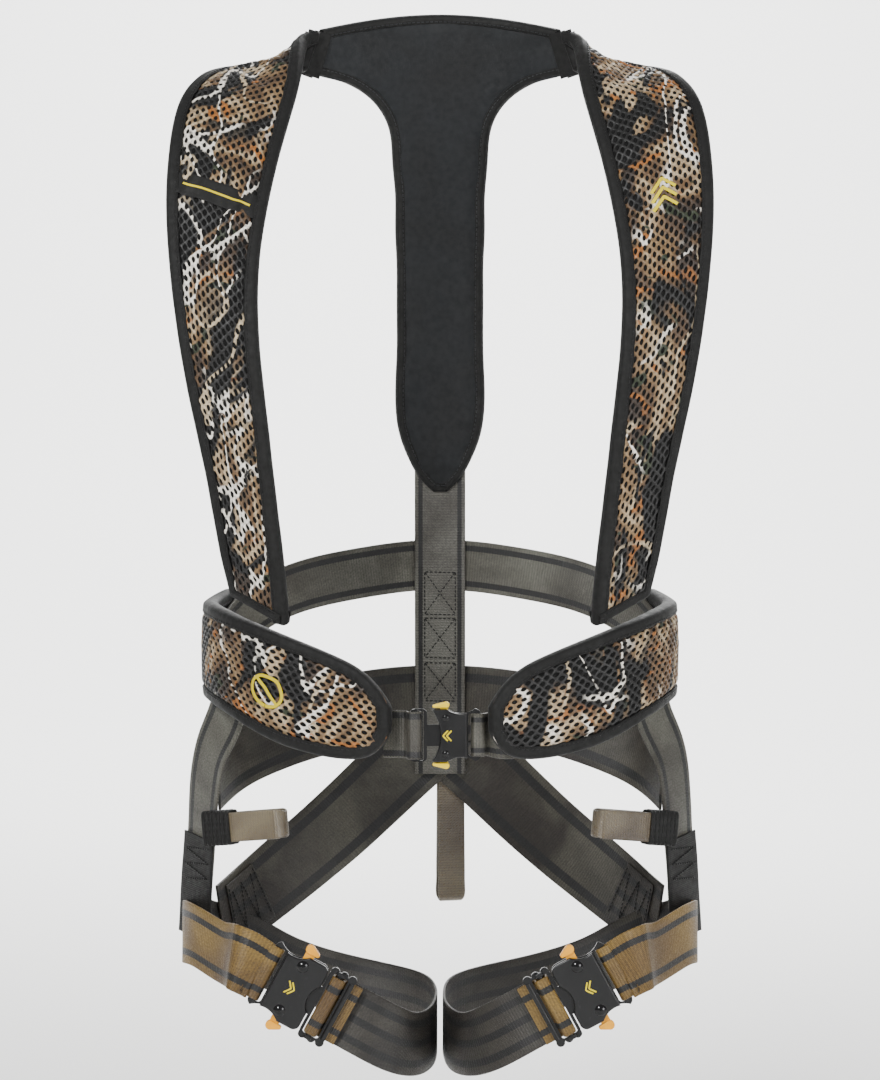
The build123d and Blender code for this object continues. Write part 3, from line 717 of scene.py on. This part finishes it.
def shoulder_webbing():
    """Load-bearing webbing that runs behind each shoulder pad."""
    a, b, face = pad_rows(SHOULDER_OUTER, SHOULDER_INNER, TORSO, 30)
    middle = ((a + b) / 2 - face * (PAD + TAPE + 0.5 + WEB))[3:]
    a, b, face = a[3:], b[3:], face[3:]
    across = unit(b - a)
    if np.sum(np.cross(across, headings(middle)) * face) < 0:
        across = -across
    for name, side in MIRROR.items():
        obj = side_strap(f"shoulder_webbing_{name}_band", middle, across, 30.0, webbing_dark, side)
        dress(obj, "webbing_grey", f"shoulder_webbing_{name}")


shoulder_webbing()


# ---------------------------------------------------------------- back panel
PANEL_HALF = [          # height and half width, from the collar to the tip
    (512, 20), (506, 61), (500, 86), (484, 92), (467, 98), (464, 76), (458, 61), (448, 48),
    (431, 38), (405, 35), (380, 33), (355, 33), (330, 32), (305, 32), (265, 32), (227, 33), (203, 30),
    (182, 22), (170, 15), (160, 5)]
COLLAR, SEAM, ARMHOLE = PANEL_HALF[:3], PANEL_HALF[2:5], PANEL_HALF[4:]


def panel_y(x, z):
    """Depth of the panel's inner pocket face, curved round the shoulders."""
    return 99 - 23 * np.maximum(0.0, (z - 300) / 212) ** 1.7 - 0.0030 * x * x


def on_panel(x, z, lift=0.0):
    """Points on the panel's inner pocket face, lifted off it, and the outward normals."""
    x, z = np.broadcast_arrays(np.asarray(x, float), np.asarray(z, float))
    slope_x = panel_y(x + 0.5, z) - panel_y(x - 0.5, z)
    slope_z = panel_y(x, z + 0.5) - panel_y(x, z - 0.5)
    normal = unit(np.stack([-slope_x, np.ones_like(x), -slope_z], axis=-1))
    points = np.stack([x, panel_y(x, z), z], axis=-1) + normal * np.asarray(lift)[..., None]
    return points, normal


def off_panel(points):
    return on_panel(points[:, 0], points[:, 2])[1]


def outline_part(table, count):
    """Half width and height along one smooth part of the panel's outline."""
    row = smooth([(half, 0, z) for z, half in table], count)
    return row[:, 0], row[:, 2]


def panel_half(z):
    """Half width of the panel at a height."""
    collar = COLLAR[::-1] + [(level, -half) for level, half in COLLAR]
    collar = [part[:60] for part in outline_part(collar, 120)]
    parts = [collar] + [outline_part(table, 60) for table in (SEAM, ARMHOLE)]
    half = np.concatenate([p[0] for p in parts])
    level = np.concatenate([p[1] for p in parts])
    order = np.argsort(level)
    return np.interp(z, level[order], half[order])


def panel_layer(name, node, outside, inside, pressure):
    """One padded layer; outside is the level of the face that shows, inside the one in the pocket."""
    rows, columns = 96, 17
    z = np.linspace(511.5, 160.5, rows)
    share = np.linspace(-1, 1, columns)
    x = (panel_half(z) - 1.6)[:, None] * share
    middle = POCKET / 2
    rim = 1 - np.maximum(np.abs(share) ** 8, np.interp(z, [160, 170, 502, 512], [1, 0, 0, 1])[:, None] ** 2)
    show = middle + (outside - middle) * (0.62 + 0.38 * rim)
    hide = middle + (inside - middle) * (0.45 + 0.55 * rim)
    level = z[:, None] + 0 * x
    near, far = on_panel(x, level, show)[0], on_panel(x, level, hide)[0]
    rings = np.concatenate([near, far[:, ::-1]], axis=1)
    pinned = np.zeros(rings.shape[:2], bool)
    pinned[:, columns:] = True
    pinned[:, [0, columns - 1]] = True
    pinned[[0, -1]] = True
    rings = puff(rings, pinned, pressure, 1.4, grow=0.006)
    across = np.concatenate([share, share[::-1]]) * 60
    obj = skin(name, rings, across, arc(rings[:, columns // 2]), fabric_panel)
    soften(obj)
    dress(obj, "panel_fabric", node)


def panel_edges():
    """Binding along the collar and both armholes, its thread, and tape over the shoulder seams."""
    low, high = -LAYER - 0.1, POCKET + LAYER + 0.1
    x, z = outline_part(ARMHOLE, 220)
    edge, faces = on_panel(np.concatenate([x, -x[::-1]]), np.concatenate([z, z[::-1]]))
    armholes, runs = armhole_tape(edge, faces, low, high)
    edge, faces = on_panel(*outline_part(COLLAR[::-1] + [(z, -half) for z, half in COLLAR], 120))
    neck = np.array([0.0, 90.0, 430.0])
    collar, collar_runs = tape("back_panel_tape_collar", edge, faces, neck, low, high, TAPE_LIP, fabric_tape)
    seam_z = np.linspace(466, 498, 24)
    seam_x = np.linspace(96.0, 86.5, 24)
    for name, side in MIRROR.items():
        for face, level in (("front", low - 0.4), ("rear", high + 0.4)):
            points, normals = on_panel(-seam_x, seam_z, np.full(24, level))
            across = unit(np.cross(headings(points), normals))
            cover = side_strap(f"shoulder_seam_{face}_{name}", points, across, SEAM_COVER, fabric_tape,
                               side, lift=-0.5, thickness=1.2, ribs=0.0)
            dress(cover, "binding_tape")
    dress(armholes, "binding_tape", "back_panel_binding")
    dress(collar, "binding_tape")
    dress(stitches("back_panel_stitching", runs + collar_runs, thread_grey), "binding_tape")


def armhole_tape(edge, faces, low, high):
    """One tape from armhole to armhole round the tip; it turns inward to the panel's stem."""
    into = unit(np.cross(faces, headings(edge)))
    stem = np.stack([0 * edge[:, 0], edge[:, 1], np.maximum(edge[:, 2], 200.0)], axis=1)
    if np.sum(into * (stem - edge)) < 0:
        into = -into
    return tape("back_panel_tape_armholes", edge, faces, edge + into, low, high, TAPE_LIP, fabric_tape)


panel_layer("back_panel_lining_fabric", "back_panel_lining", -LAYER, 0.0, 1.2)
panel_layer("back_panel_shell_fabric", "back_panel_shell", POCKET + LAYER, POCKET, 1.2)
panel_edges()


def backward(points):
    return np.broadcast_to(np.array([0.0, 1.0, 0.0]), points.shape)


def spine():
    """Spine strap from between the shoulders to the seat, and the yoke across the shoulders."""
    heights = np.array([456, 420, 380, 340, 300, 230])
    route = [tuple(p) for p in on_panel(0 * heights, heights, 0.35)[0]]
    route += [(0, 99.6, 160), (0, 99.6, BELT_Z), (0, 102.2, 62), (0, 106.7, 28), (0, 109.0, 0), (0, 111, -54)]
    dress(band("spine_strap_band", route, backward, MAIN, webbing_spine, 40), "webbing_grey", "spine_strap")
    x = np.array([-78, -39, 0, 39, 78.0])
    points = on_panel(x, 484 - 0.0012 * x * x, 0.8)[0]
    yoke = band("yoke_webbing_band", points, off_panel, MAIN * 0.6, webbing_dark, 12)
    dress(yoke, "webbing_grey", "yoke_webbing")
    return smooth(route, 400)


spine_line = spine()


# ---------------------------------------------------------------- belt, seat and hips
def mirrored(points):
    return [(-x, y, z) for x, y, z in reversed(points)]


class BucklePlane:
    """Where a buckle lies: x from housing to plug, z away from the body."""

    def __init__(self, origin, along, out):
        self.origin = np.array(origin, float)
        self.x = unit(np.array(along, float))
        out = np.array(out, float)
        self.z = unit(out - self.x * np.dot(out, self.x))
        self.y = np.cross(self.z, self.x)

    def at(self, x, z, y=0.0):
        return self.origin + self.x * x + self.y * y + self.z * z


waist_plane = BucklePlane((-8, -109, 0.5), (-1, 0, 0), (0, -1, 0))
leg_plane = BucklePlane((-87.6, -99, -185), (0.88, -0.03, -0.475), (0, -1, 0))


def strap_to_housing(name, points, outward, plane, bar, lead, heel, width, fold_width, material, side):
    """A strap that ends folded round its housing's bar, as one piece of webbing."""
    fold = rounded(lead + [(3.2, 3.1), (4.6, 1.2), (3.2, -1.7), (heel, -2.0)], 1.6)
    fold = np.array([plane.at(bar + x, z) for x, z in fold])
    across = crosswise(points, outward)
    across = eased(np.vstack([across, -plane.y]), 12)[:-1]
    line = np.vstack([points, fold])
    sides = np.vstack([across, np.tile(-plane.y, (len(fold), 1))])
    widths = np.concatenate([np.full(len(points), width), np.full(len(fold), fold_width)])
    widths[len(points) - 2:len(points)] = (width * 0.98, width * 0.95)
    return side_strap(name, line, sides, widths, material, side, lift=-0.9, thickness=1.9, step=0.45)


def waist_belt():
    a, b, face = pad_rows(WAIST_TOP, WAIST_BOTTOM, TORSO, 18)
    depth = PAD + TAPE + 0.7 + WEB
    behind = [tuple(p) for p in ((a + b) / 2 - face * depth)[3:15:3][::-1]]
    half = [(-124, 62, 82), (-62, 92, 99)]
    route = behind + half + [(0, 104.0, BELT_Z)] + mirrored(half) + mirrored(behind) + [(47, -103.2, 0.8)]
    middle = (a + b) / 2

    def outward(points):
        out = TORSO(points)
        for k, p in enumerate(points):
            if p[1] <= 50:
                near = face[np.argmin(np.linalg.norm(middle - (-abs(p[0]), p[1], p[2]), axis=1))]
                out[k] = unit(near * (1 if p[0] < 0 else -1, 1, 0.5))
        return out

    points = smooth(route, 60)
    points = points + outward(points) * 1.0
    lead = [(-5.4, -1.8), (-3.0, 3.1)]
    obj = strap_to_housing("waist_belt_band", points, outward, waist_plane, -34.5, lead, -1.4, MAIN, 30.0,
                           webbing_main, MIRROR["right"])
    dress(obj, "webbing_grey", "waist_belt")


waist_belt()
SEAT_HALF = [(-160, 8, -41), (-148, 48, -30), (-103, 86, -13), (-58, 106, -4)]
DIAGONAL = [(18, 115.6, -6), (-31, 114.6, -50), (-76, 107, -92), (-114, 92, -123), (-143, 66, -144),
            (-160, 38, -154)]
RISER = [(-149, -21.5, 58), (-149.5, -21, 32), (-151.5, -20, 8), (-163, -12, -20), (-169, -8, -51),
         (-171, -5, -80), (-173, -2, -112), (-175, 0, -158)]


def zigzag(points, outward, width, start, end, count, inset=4.0, lift=0.0):
    """A zigzag of thread across a strap between two places along it: (points, normals)."""
    travel = arc(points)
    at = np.linspace(start, end, count + 1)
    centre, ahead = rows_at(at, travel, points), rows_at(at, travel, headings(points))
    across = unit(np.cross(ahead, outward(centre)))
    normal = unit(np.cross(across, ahead))
    swing = np.where(np.arange(count + 1) % 2, 1, -1)[:, None] * (width / 2 - inset)
    return centre + across * swing + normal * lift, normal


def along_strap(points, outward, offset, start, end, lift=0.0):
    """A straight line of thread along a strap."""
    travel = arc(points)
    centre = rows_at(np.linspace(start, end, 30), travel, points)
    across = crosswise(centre, outward)
    normal = unit(np.cross(across, headings(centre)))
    return centre + across * offset + normal * lift, normal


def inward(run):
    """The same thread on the strap's other face."""
    points, normals = run
    return points, -normals


def half_forward(points):
    """Outward direction turned part of the way to the front, as the hip straps lie."""
    return unit(TORSO(points) + np.array([0.0, -0.62, 0.0]))


def seat_and_hips():
    seat = SEAT_HALF + [(0, 113, 0)] + mirrored(SEAT_HALF)
    dress(band("seat_band_webbing", seat, TORSO, WIDE, webbing_seat_painted_shade, 40), "webbing_grey", "seat_band")
    for name, side in MIRROR.items():
        shift = np.array([0, PLY + 0.3 if name == "left" else 0.0, 0])
        points = smooth(DIAGONAL, 30)
        across = crosswise(points, TORSO)
        obj = side_strap(f"seat_strap_{name}_band", points + shift, across, WIDE, webbing_seat_painted_shade, side)
        dress(obj, "webbing_grey", f"seat_strap_{name}")
        riser = smooth(RISER, 31)
        across = crosswise(riser, half_forward)
        obj = side_strap(f"hip_riser_{name}_band", riser, across, MAIN, webbing_main, side)
        dress(obj, "webbing_grey", f"hip_riser_{name}")
        hip_details(name, side, points + shift, riser)


def hip_details(name, side, diagonal, riser):
    """Tab, gusset and thread where the straps of one hip meet the leg loop."""
    travel = arc(diagonal)
    start, end = travel[-1] - 52, travel[-1] - 12
    centre = rows_at(np.linspace(start, end, 14), travel, diagonal)
    across = crosswise(centre, TORSO)
    tucked = centre - TORSO(centre) * 1.3
    tab = side_strap(f"hip_tab_{name}", tucked, across, 47.0, webbing_dark, side, thickness=1.2)
    dress(tab, "webbing_grey")
    runs = [inward(zigzag(diagonal, TORSO, 40, start + 6, end - 6, 4, 2.0, -1.45))]
    for place in (start + 2, end - 2):
        runs.append(inward(zigzag(diagonal, TORSO, 46, place, place + 0.5, 1, 2.5, -1.45)))
    low = riser[20:] + half_forward(riser[20:]) * (WEB + 0.3)
    across = eased(crosswise(low, half_forward), 4)
    gusset = side_strap(f"hip_gusset_{name}", low, across, np.linspace(40, 48, len(low)), fabric_sleeve, side,
                        thickness=1.6, ribs=0.08)
    dress(gusset, "sleeve_black")
    runs.append(zigzag(low, half_forward, 40, 6, 34, 5, 4.0, 1.75))
    runs = [(points * side, normals * side) for points, normals in runs]
    dress(stitches(f"hip_stitching_{name}", runs, thread_black, radius=0.42), "binding_tape")


seat_and_hips()


# ---------------------------------------------------------------- leg loops
def leg_loops():
    near = [tuple(leg_plane.at(x, -0.3)) for x in (-62, -44)]
    front = smooth([(-166, 34, -157), (-180, 2, -155), (-171, -46, -150), (-147, -82, -157)] + near, 26)
    front = front + THIGH(front) * (PLY + WEB / 2)
    under = [tuple(leg_plane.at(x, -5.6)) for x in (14, 28, 42)]
    inner = [(-27, -82, -219), (-9, -45, -224), (-4, -5, -221), (-10, 35, -216), (-38, 66, -213),
             (-80, 84, -207), (-120, 78, -192), (-148, 56, -172), (-168, 26, -158)]
    rear = smooth(under + inner, 40)
    rear_across = crosswise(rear, THIGH)
    for name, side in MIRROR.items():
        obj = strap_to_housing(f"leg_front_strap_{name}_band", front, THIGH, leg_plane, -39.0,
                               [(-12, 2.6), (-4, 3.1)], -4.0, LEG, 40.4, webbing_olive, side)
        dress(obj, "webbing_olive", f"leg_front_strap_{name}")
        obj = side_strap(f"leg_rear_strap_{name}_band", rear, rear_across, LEG, webbing_dark, side)
        dress(obj, "webbing_grey", f"leg_rear_strap_{name}")


leg_loops()


def adjuster(name, plane, route, radius, width, material, node, body, side):
    """Webbing threaded round a plug's bar."""
    line = np.array([plane.at(x, z) for x, z in rounded(route, radius)])
    across = np.tile(-plane.y, (len(line), 1))
    obj = side_strap(name, line, across, width, material, side, lift=-0.85, thickness=1.7, step=0.4)
    dress(obj, "webbing_olive", node, body=body)


LEG_WEB = [(27, 0.75), (13.4, 0.75), (12.3, 9.6), (4.9, 9.6), (4.9, -1.25), (27, -1.25)]
WAIST_WEB = [(10.5, -0.6), (5.5, -0.2), (5.5, 6.9), (13.5, 6.9), (15, -1.8), (31, -5.2)]
adjuster("waist_adjuster_webbing", waist_plane, WAIST_WEB, 2.2, 33.0, webbing_main, "waist_adjuster_web",
         "waist_plug", MIRROR["right"])
for name, side in MIRROR.items():
    adjuster(f"leg_adjuster_webbing_{name}", leg_plane, LEG_WEB, 1.8, 44.0, webbing_olive,
             f"leg_adjuster_web_{name}", f"leg_plug_{name}", side)


# ---------------------------------------------------------------- hanging loops
def hanging_loop(name, origin, along, across, path, width, material, side, thickness, twist=0.0):
    """A flattened loop of webbing.

    The loop twists gradually from its root to its far end, where its corners are rounded.
    """
    origin, along, across = (np.array(v, float) for v in (origin, along, across))
    along, across = unit(along), unit(across)
    third = np.cross(across, along)
    x, y = path.T[:, :, None]
    reach = x.max()
    angle = twist * np.clip(x / reach, 0.0, 1.0) ** 1.5
    line = origin + along * x + (third * np.cos(angle) - across * np.sin(angle)) * y
    across = across * np.cos(angle) + third * np.sin(angle)
    widths = width * (1.0 - 0.16 * np.clip((x[:, 0] - reach + 5.0) / 5.0, 0.0, 1.0) ** 2)
    obj = side_strap(f"{name}_webbing", line, across, widths, material, side, lift=-thickness / 2,
                     thickness=thickness, step=0.45)
    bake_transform(obj)
    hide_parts(name)


def loop_path(start, length, gap):
    """Centre line of a loop: two plies side by side, wider at the round far end."""
    r = gap / 2
    turn = np.linspace(math.pi / 2, -math.pi / 2, 15)
    run = np.linspace(start, length - r, 12)[:-1]
    ply = r * (0.62 + 0.38 * np.sin(np.linspace(0, math.pi / 2, 11)))
    near = np.stack([run, ply], axis=1)
    end = np.stack([length - r + r * np.cos(turn), r * np.sin(turn)], axis=1)
    return np.vstack([near, end, near[::-1] * (1, -1)])


LOOP_ALONG = unit(np.array([52.0, -24, 7]))
LOOP_ACROSS = np.array([-0.0922, 0.0895, 0.9917])
LOOP_AT = (-147, -33, -74)


def boxy(values, power):
    """Sines or cosines pushed outward, so that an oval gets flatter sides."""
    return np.sign(values) * np.abs(values) ** power


def sleeve(name, side):
    """Elastic sleeve that holds a side loop: a flattened tube with gathered ends."""
    third = np.cross(LOOP_ACROSS, LOOP_ALONG)
    turn = np.linspace(0, 2 * math.pi, 40, endpoint=False)
    rings = []
    for t in np.linspace(0, 1, 47):
        x = -23 + 23 * t
        ripple = 0.35 * math.sin(t * 2 * math.pi * 7)
        deep, high = 7.9 + ripple - 2.2 * (1 - t), 12.4 + ripple
        u, v = deep * boxy(np.cos(turn), 0.45), high * boxy(np.sin(turn), 0.35)
        rings.append(np.array(LOOP_AT) + LOOP_ALONG * x + third * u[:, None] + LOOP_ACROSS * v[:, None])
    rings = np.array(rings)
    middle = rings.mean(axis=1, keepdims=True)
    inner = middle + (rings - middle) * 0.86
    rings = np.concatenate([rings, inner[::-1]])
    across = np.linspace(0, 80, 40)
    obj = skin(f"loop_sleeve_{name}_fabric", rings * side, across, arc(rings[:, 0]), fabric_sleeve, loop=True)
    dress(obj, "sleeve_black", f"loop_sleeve_{name}")


for name, side in MIRROR.items():
    hanging_loop(f"lineman_loop_{name}", LOOP_AT, LOOP_ALONG, LOOP_ACROSS, loop_path(-14, 42, 13), NARROW,
                 webbing_loop, side, 1.8)
    sleeve(name, side)
hanging_loop("tail_loop", (8, 127.5, -50), (0, 0, -1), (1, 0, 0), loop_path(0, 102, 8), NARROW, webbing_loop,
             MIRROR["right"], 1.8, twist=0.24)
hanging_loop("tether_loop", (0, 101.2, 452), (0, 9.6, -84), (1, 0, 0), loop_path(0, 84, 12), MAIN,
             webbing_tether, MIRROR["right"], 2.2)


# ---------------------------------------------------------------- sewn details
def spine_thread():
    """Crossed boxes below the belt and rows of thread where the spine strap is sewn on."""
    travel = arc(spine_line)

    def place(z):
        return float(np.interp(z, spine_line[::-1, 2], travel[::-1]))

    runs = []
    for top, bottom in ((100, 68), (65, 35), (31, 2)):
        start, end = place(top), place(bottom)
        for flip in (1, -1):
            run = along_strap(spine_line, backward, 11.5 * flip, start, end, -0.12)
            runs.append(inward(run))
            a, b = run[0][0], along_strap(spine_line, backward, -11.5 * flip, start, end, -0.12)[0][-1]
            t = np.linspace(0, 1, 20)[:, None]
            runs.append((a + (b - a) * t, np.tile([0.0, -1.0, 0.0], (20, 1))))
        for edge in (start, end):
            runs.append(inward(zigzag(spine_line, backward, 27, edge, edge + 0.5, 1, 2.0, -0.12)))
    dress(stitches("spine_stitching", runs, thread_black, radius=0.4), "binding_tape")


spine_thread()


def pad_labels():
    """A plain band and generic woven marks where the pads carry labels."""
    right, left = MIRROR["right"], MIRROR["left"]
    place = shoulder.length * 0.40
    half = shoulder.width_at(place) / 2 - 7
    path = [(-half, place), (half, place)]
    dress(ribbon("shoulder_label_band", shoulder, path, LABEL, fabric_patch, right), "binding_tape")
    path = [(-half + 5, place), (half - 5, place)]
    line = ribbon("shoulder_label_line", shoulder, path, 1.6, mark_yellow, right, 1.9, 0.3)
    dress(line, "tab_yellow_waist")
    for index, offset in enumerate((-7, 0, 7)):
        chevron = [(-9, place + 4 + offset), (0, place - 5 + offset), (9, place + 4 + offset)]
        mark = ribbon(f"shoulder_mark_{index}", shoulder, chevron, 2.4, mark_yellow, left, 1.2, 0.5)
        dress(mark, "tab_yellow_waist")
    at = waist.length * 0.60
    turn = np.linspace(0, 2 * math.pi, 49)
    ring = np.stack([4 + 10 * np.cos(turn), at + 12 * np.sin(turn)], axis=1)
    circle = ribbon("waist_mark_ring", waist, ring, 2.4, mark_yellow, right, 1.2, 0.5, 120)
    dress(circle, "tab_yellow_waist")
    bar = ribbon("waist_mark_bar", waist, [(-3, at - 9), (11, at + 9)], 2.2, mark_yellow, right, 1.2, 0.5)
    dress(bar, "tab_yellow_waist")


pad_labels()


def cover_marks():
    """A pair of plain chevrons printed on each buckle's cover, in place of any mark."""
    places = [("waist", waist_plane, -14.0, MIRROR["right"], 0.8)]
    places += [(f"leg_{name}", leg_plane, -19.0, side, 1.0) for name, side in MIRROR.items()]
    for name, plane, x, side, size in places:
        for index in range(2):
            corners = [(x + 2.5 * index - 2, -4.5), (x + 2.5 * index + 1.5, 0.0), (x + 2.5 * index - 2, 4.5)]
            path = rounded([np.array(c) * (1, size) for c in corners], 0.6)
            line = np.array([plane.at(u, 8.72, v) for u, v in path])
            across = unit(np.cross(headings(line), plane.z))
            mark = side_strap(f"{name}_cover_mark_{index}", line, across, 1.1, mark_yellow, side,
                              thickness=0.12, ribs=0.0, wave=0.0, step=0.4)
            dress(mark, "tab_yellow_waist")


cover_marks()


# ---------------------------------------------------------------- buckles keep their CAD shape
FINISH = {
    "buckle_base": buckle_black, "buckle_cover": buckle_black, "buckle_rivets": rivet_black,
    "buckle_plug": plug_black, "waist_clip": tab_lemon, "leg_clip": tab_amber, "float_bar": plug_black,
    "release_springs": steel}
for node_name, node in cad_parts.items():
    for key, finish in FINISH.items():
        if key in node_name:
            node.data.materials.clear()
            node.data.materials.append(finish)


# ---------------------------------------------------------------- floor, light and camera
def floor():
    """Pale floor that turns up into a backdrop far behind."""
    profile = rounded([(-9.0, -0.42), (6.0, -0.42), (6.0, 7.0)], 3.0, 24)
    x = np.linspace(-14, 14, 3)
    verts = [(a, y, z) for y, z in profile for a in x]
    starts = [3 * k + j for k in range(len(profile) - 1) for j in range(2)]
    faces = [(k, k + 1, k + 4, k + 3) for k in starts]
    s = Shader("studio_floor", roughness=0.9, specular=0.1)
    s.set("Base Color", s.mix(s.noise(0.8, 2.0), tone(238, 238, 237), tone(244, 244, 243)))
    obj = build("studio_floor", np.array(verts) / MM, faces, s.material)


def area_light(name, place, target, size, power):
    light = bpy.data.lights.new(name, "AREA")
    light.shape, light.size, light.energy = "DISK", size, power
    obj = bpy.data.objects.new(name, light)
    obj.location = place
    obj.rotation_euler = (Vector(target) - Vector(place)).to_track_quat("-Z", "Y").to_euler()
    obj.visible_camera = False
    bpy.context.scene.collection.objects.link(obj)


def studio():
    world = bpy.data.worlds.new("studio")
    world.use_nodes = True
    world.node_tree.nodes["Background"].inputs["Color"].default_value = (1, 1, 1, 1)
    world.node_tree.nodes["Background"].inputs["Strength"].default_value = 0.5
    bpy.context.scene.world = world
    middle = (0, 0, 0.12)
    area_light("key", (-1.2, -2.3, 1.7), middle, 0.8, 85)
    area_light("fill", (1.8, -1.9, 0.5), middle, 1.2, 36)
    area_light("rear", (0.6, 2.0, 1.6), middle, 1.0, 40)
    area_light("backdrop", (0, 2.6, 3.4), (0, 6.4, 0.6), 3.0, 620)


def camera():
    data = bpy.data.cameras.new("camera")
    data.lens = 111.1
    obj = bpy.data.objects.new("camera", data)
    obj.location = (0, -2.3967, 0.2547)
    obj.rotation_euler = (Vector((0, 0, 0.1291)) - obj.location).to_track_quat("-Z", "Y").to_euler()
    bpy.context.scene.collection.objects.link(obj)
    bpy.context.scene.camera = obj


floor()
studio()
camera()
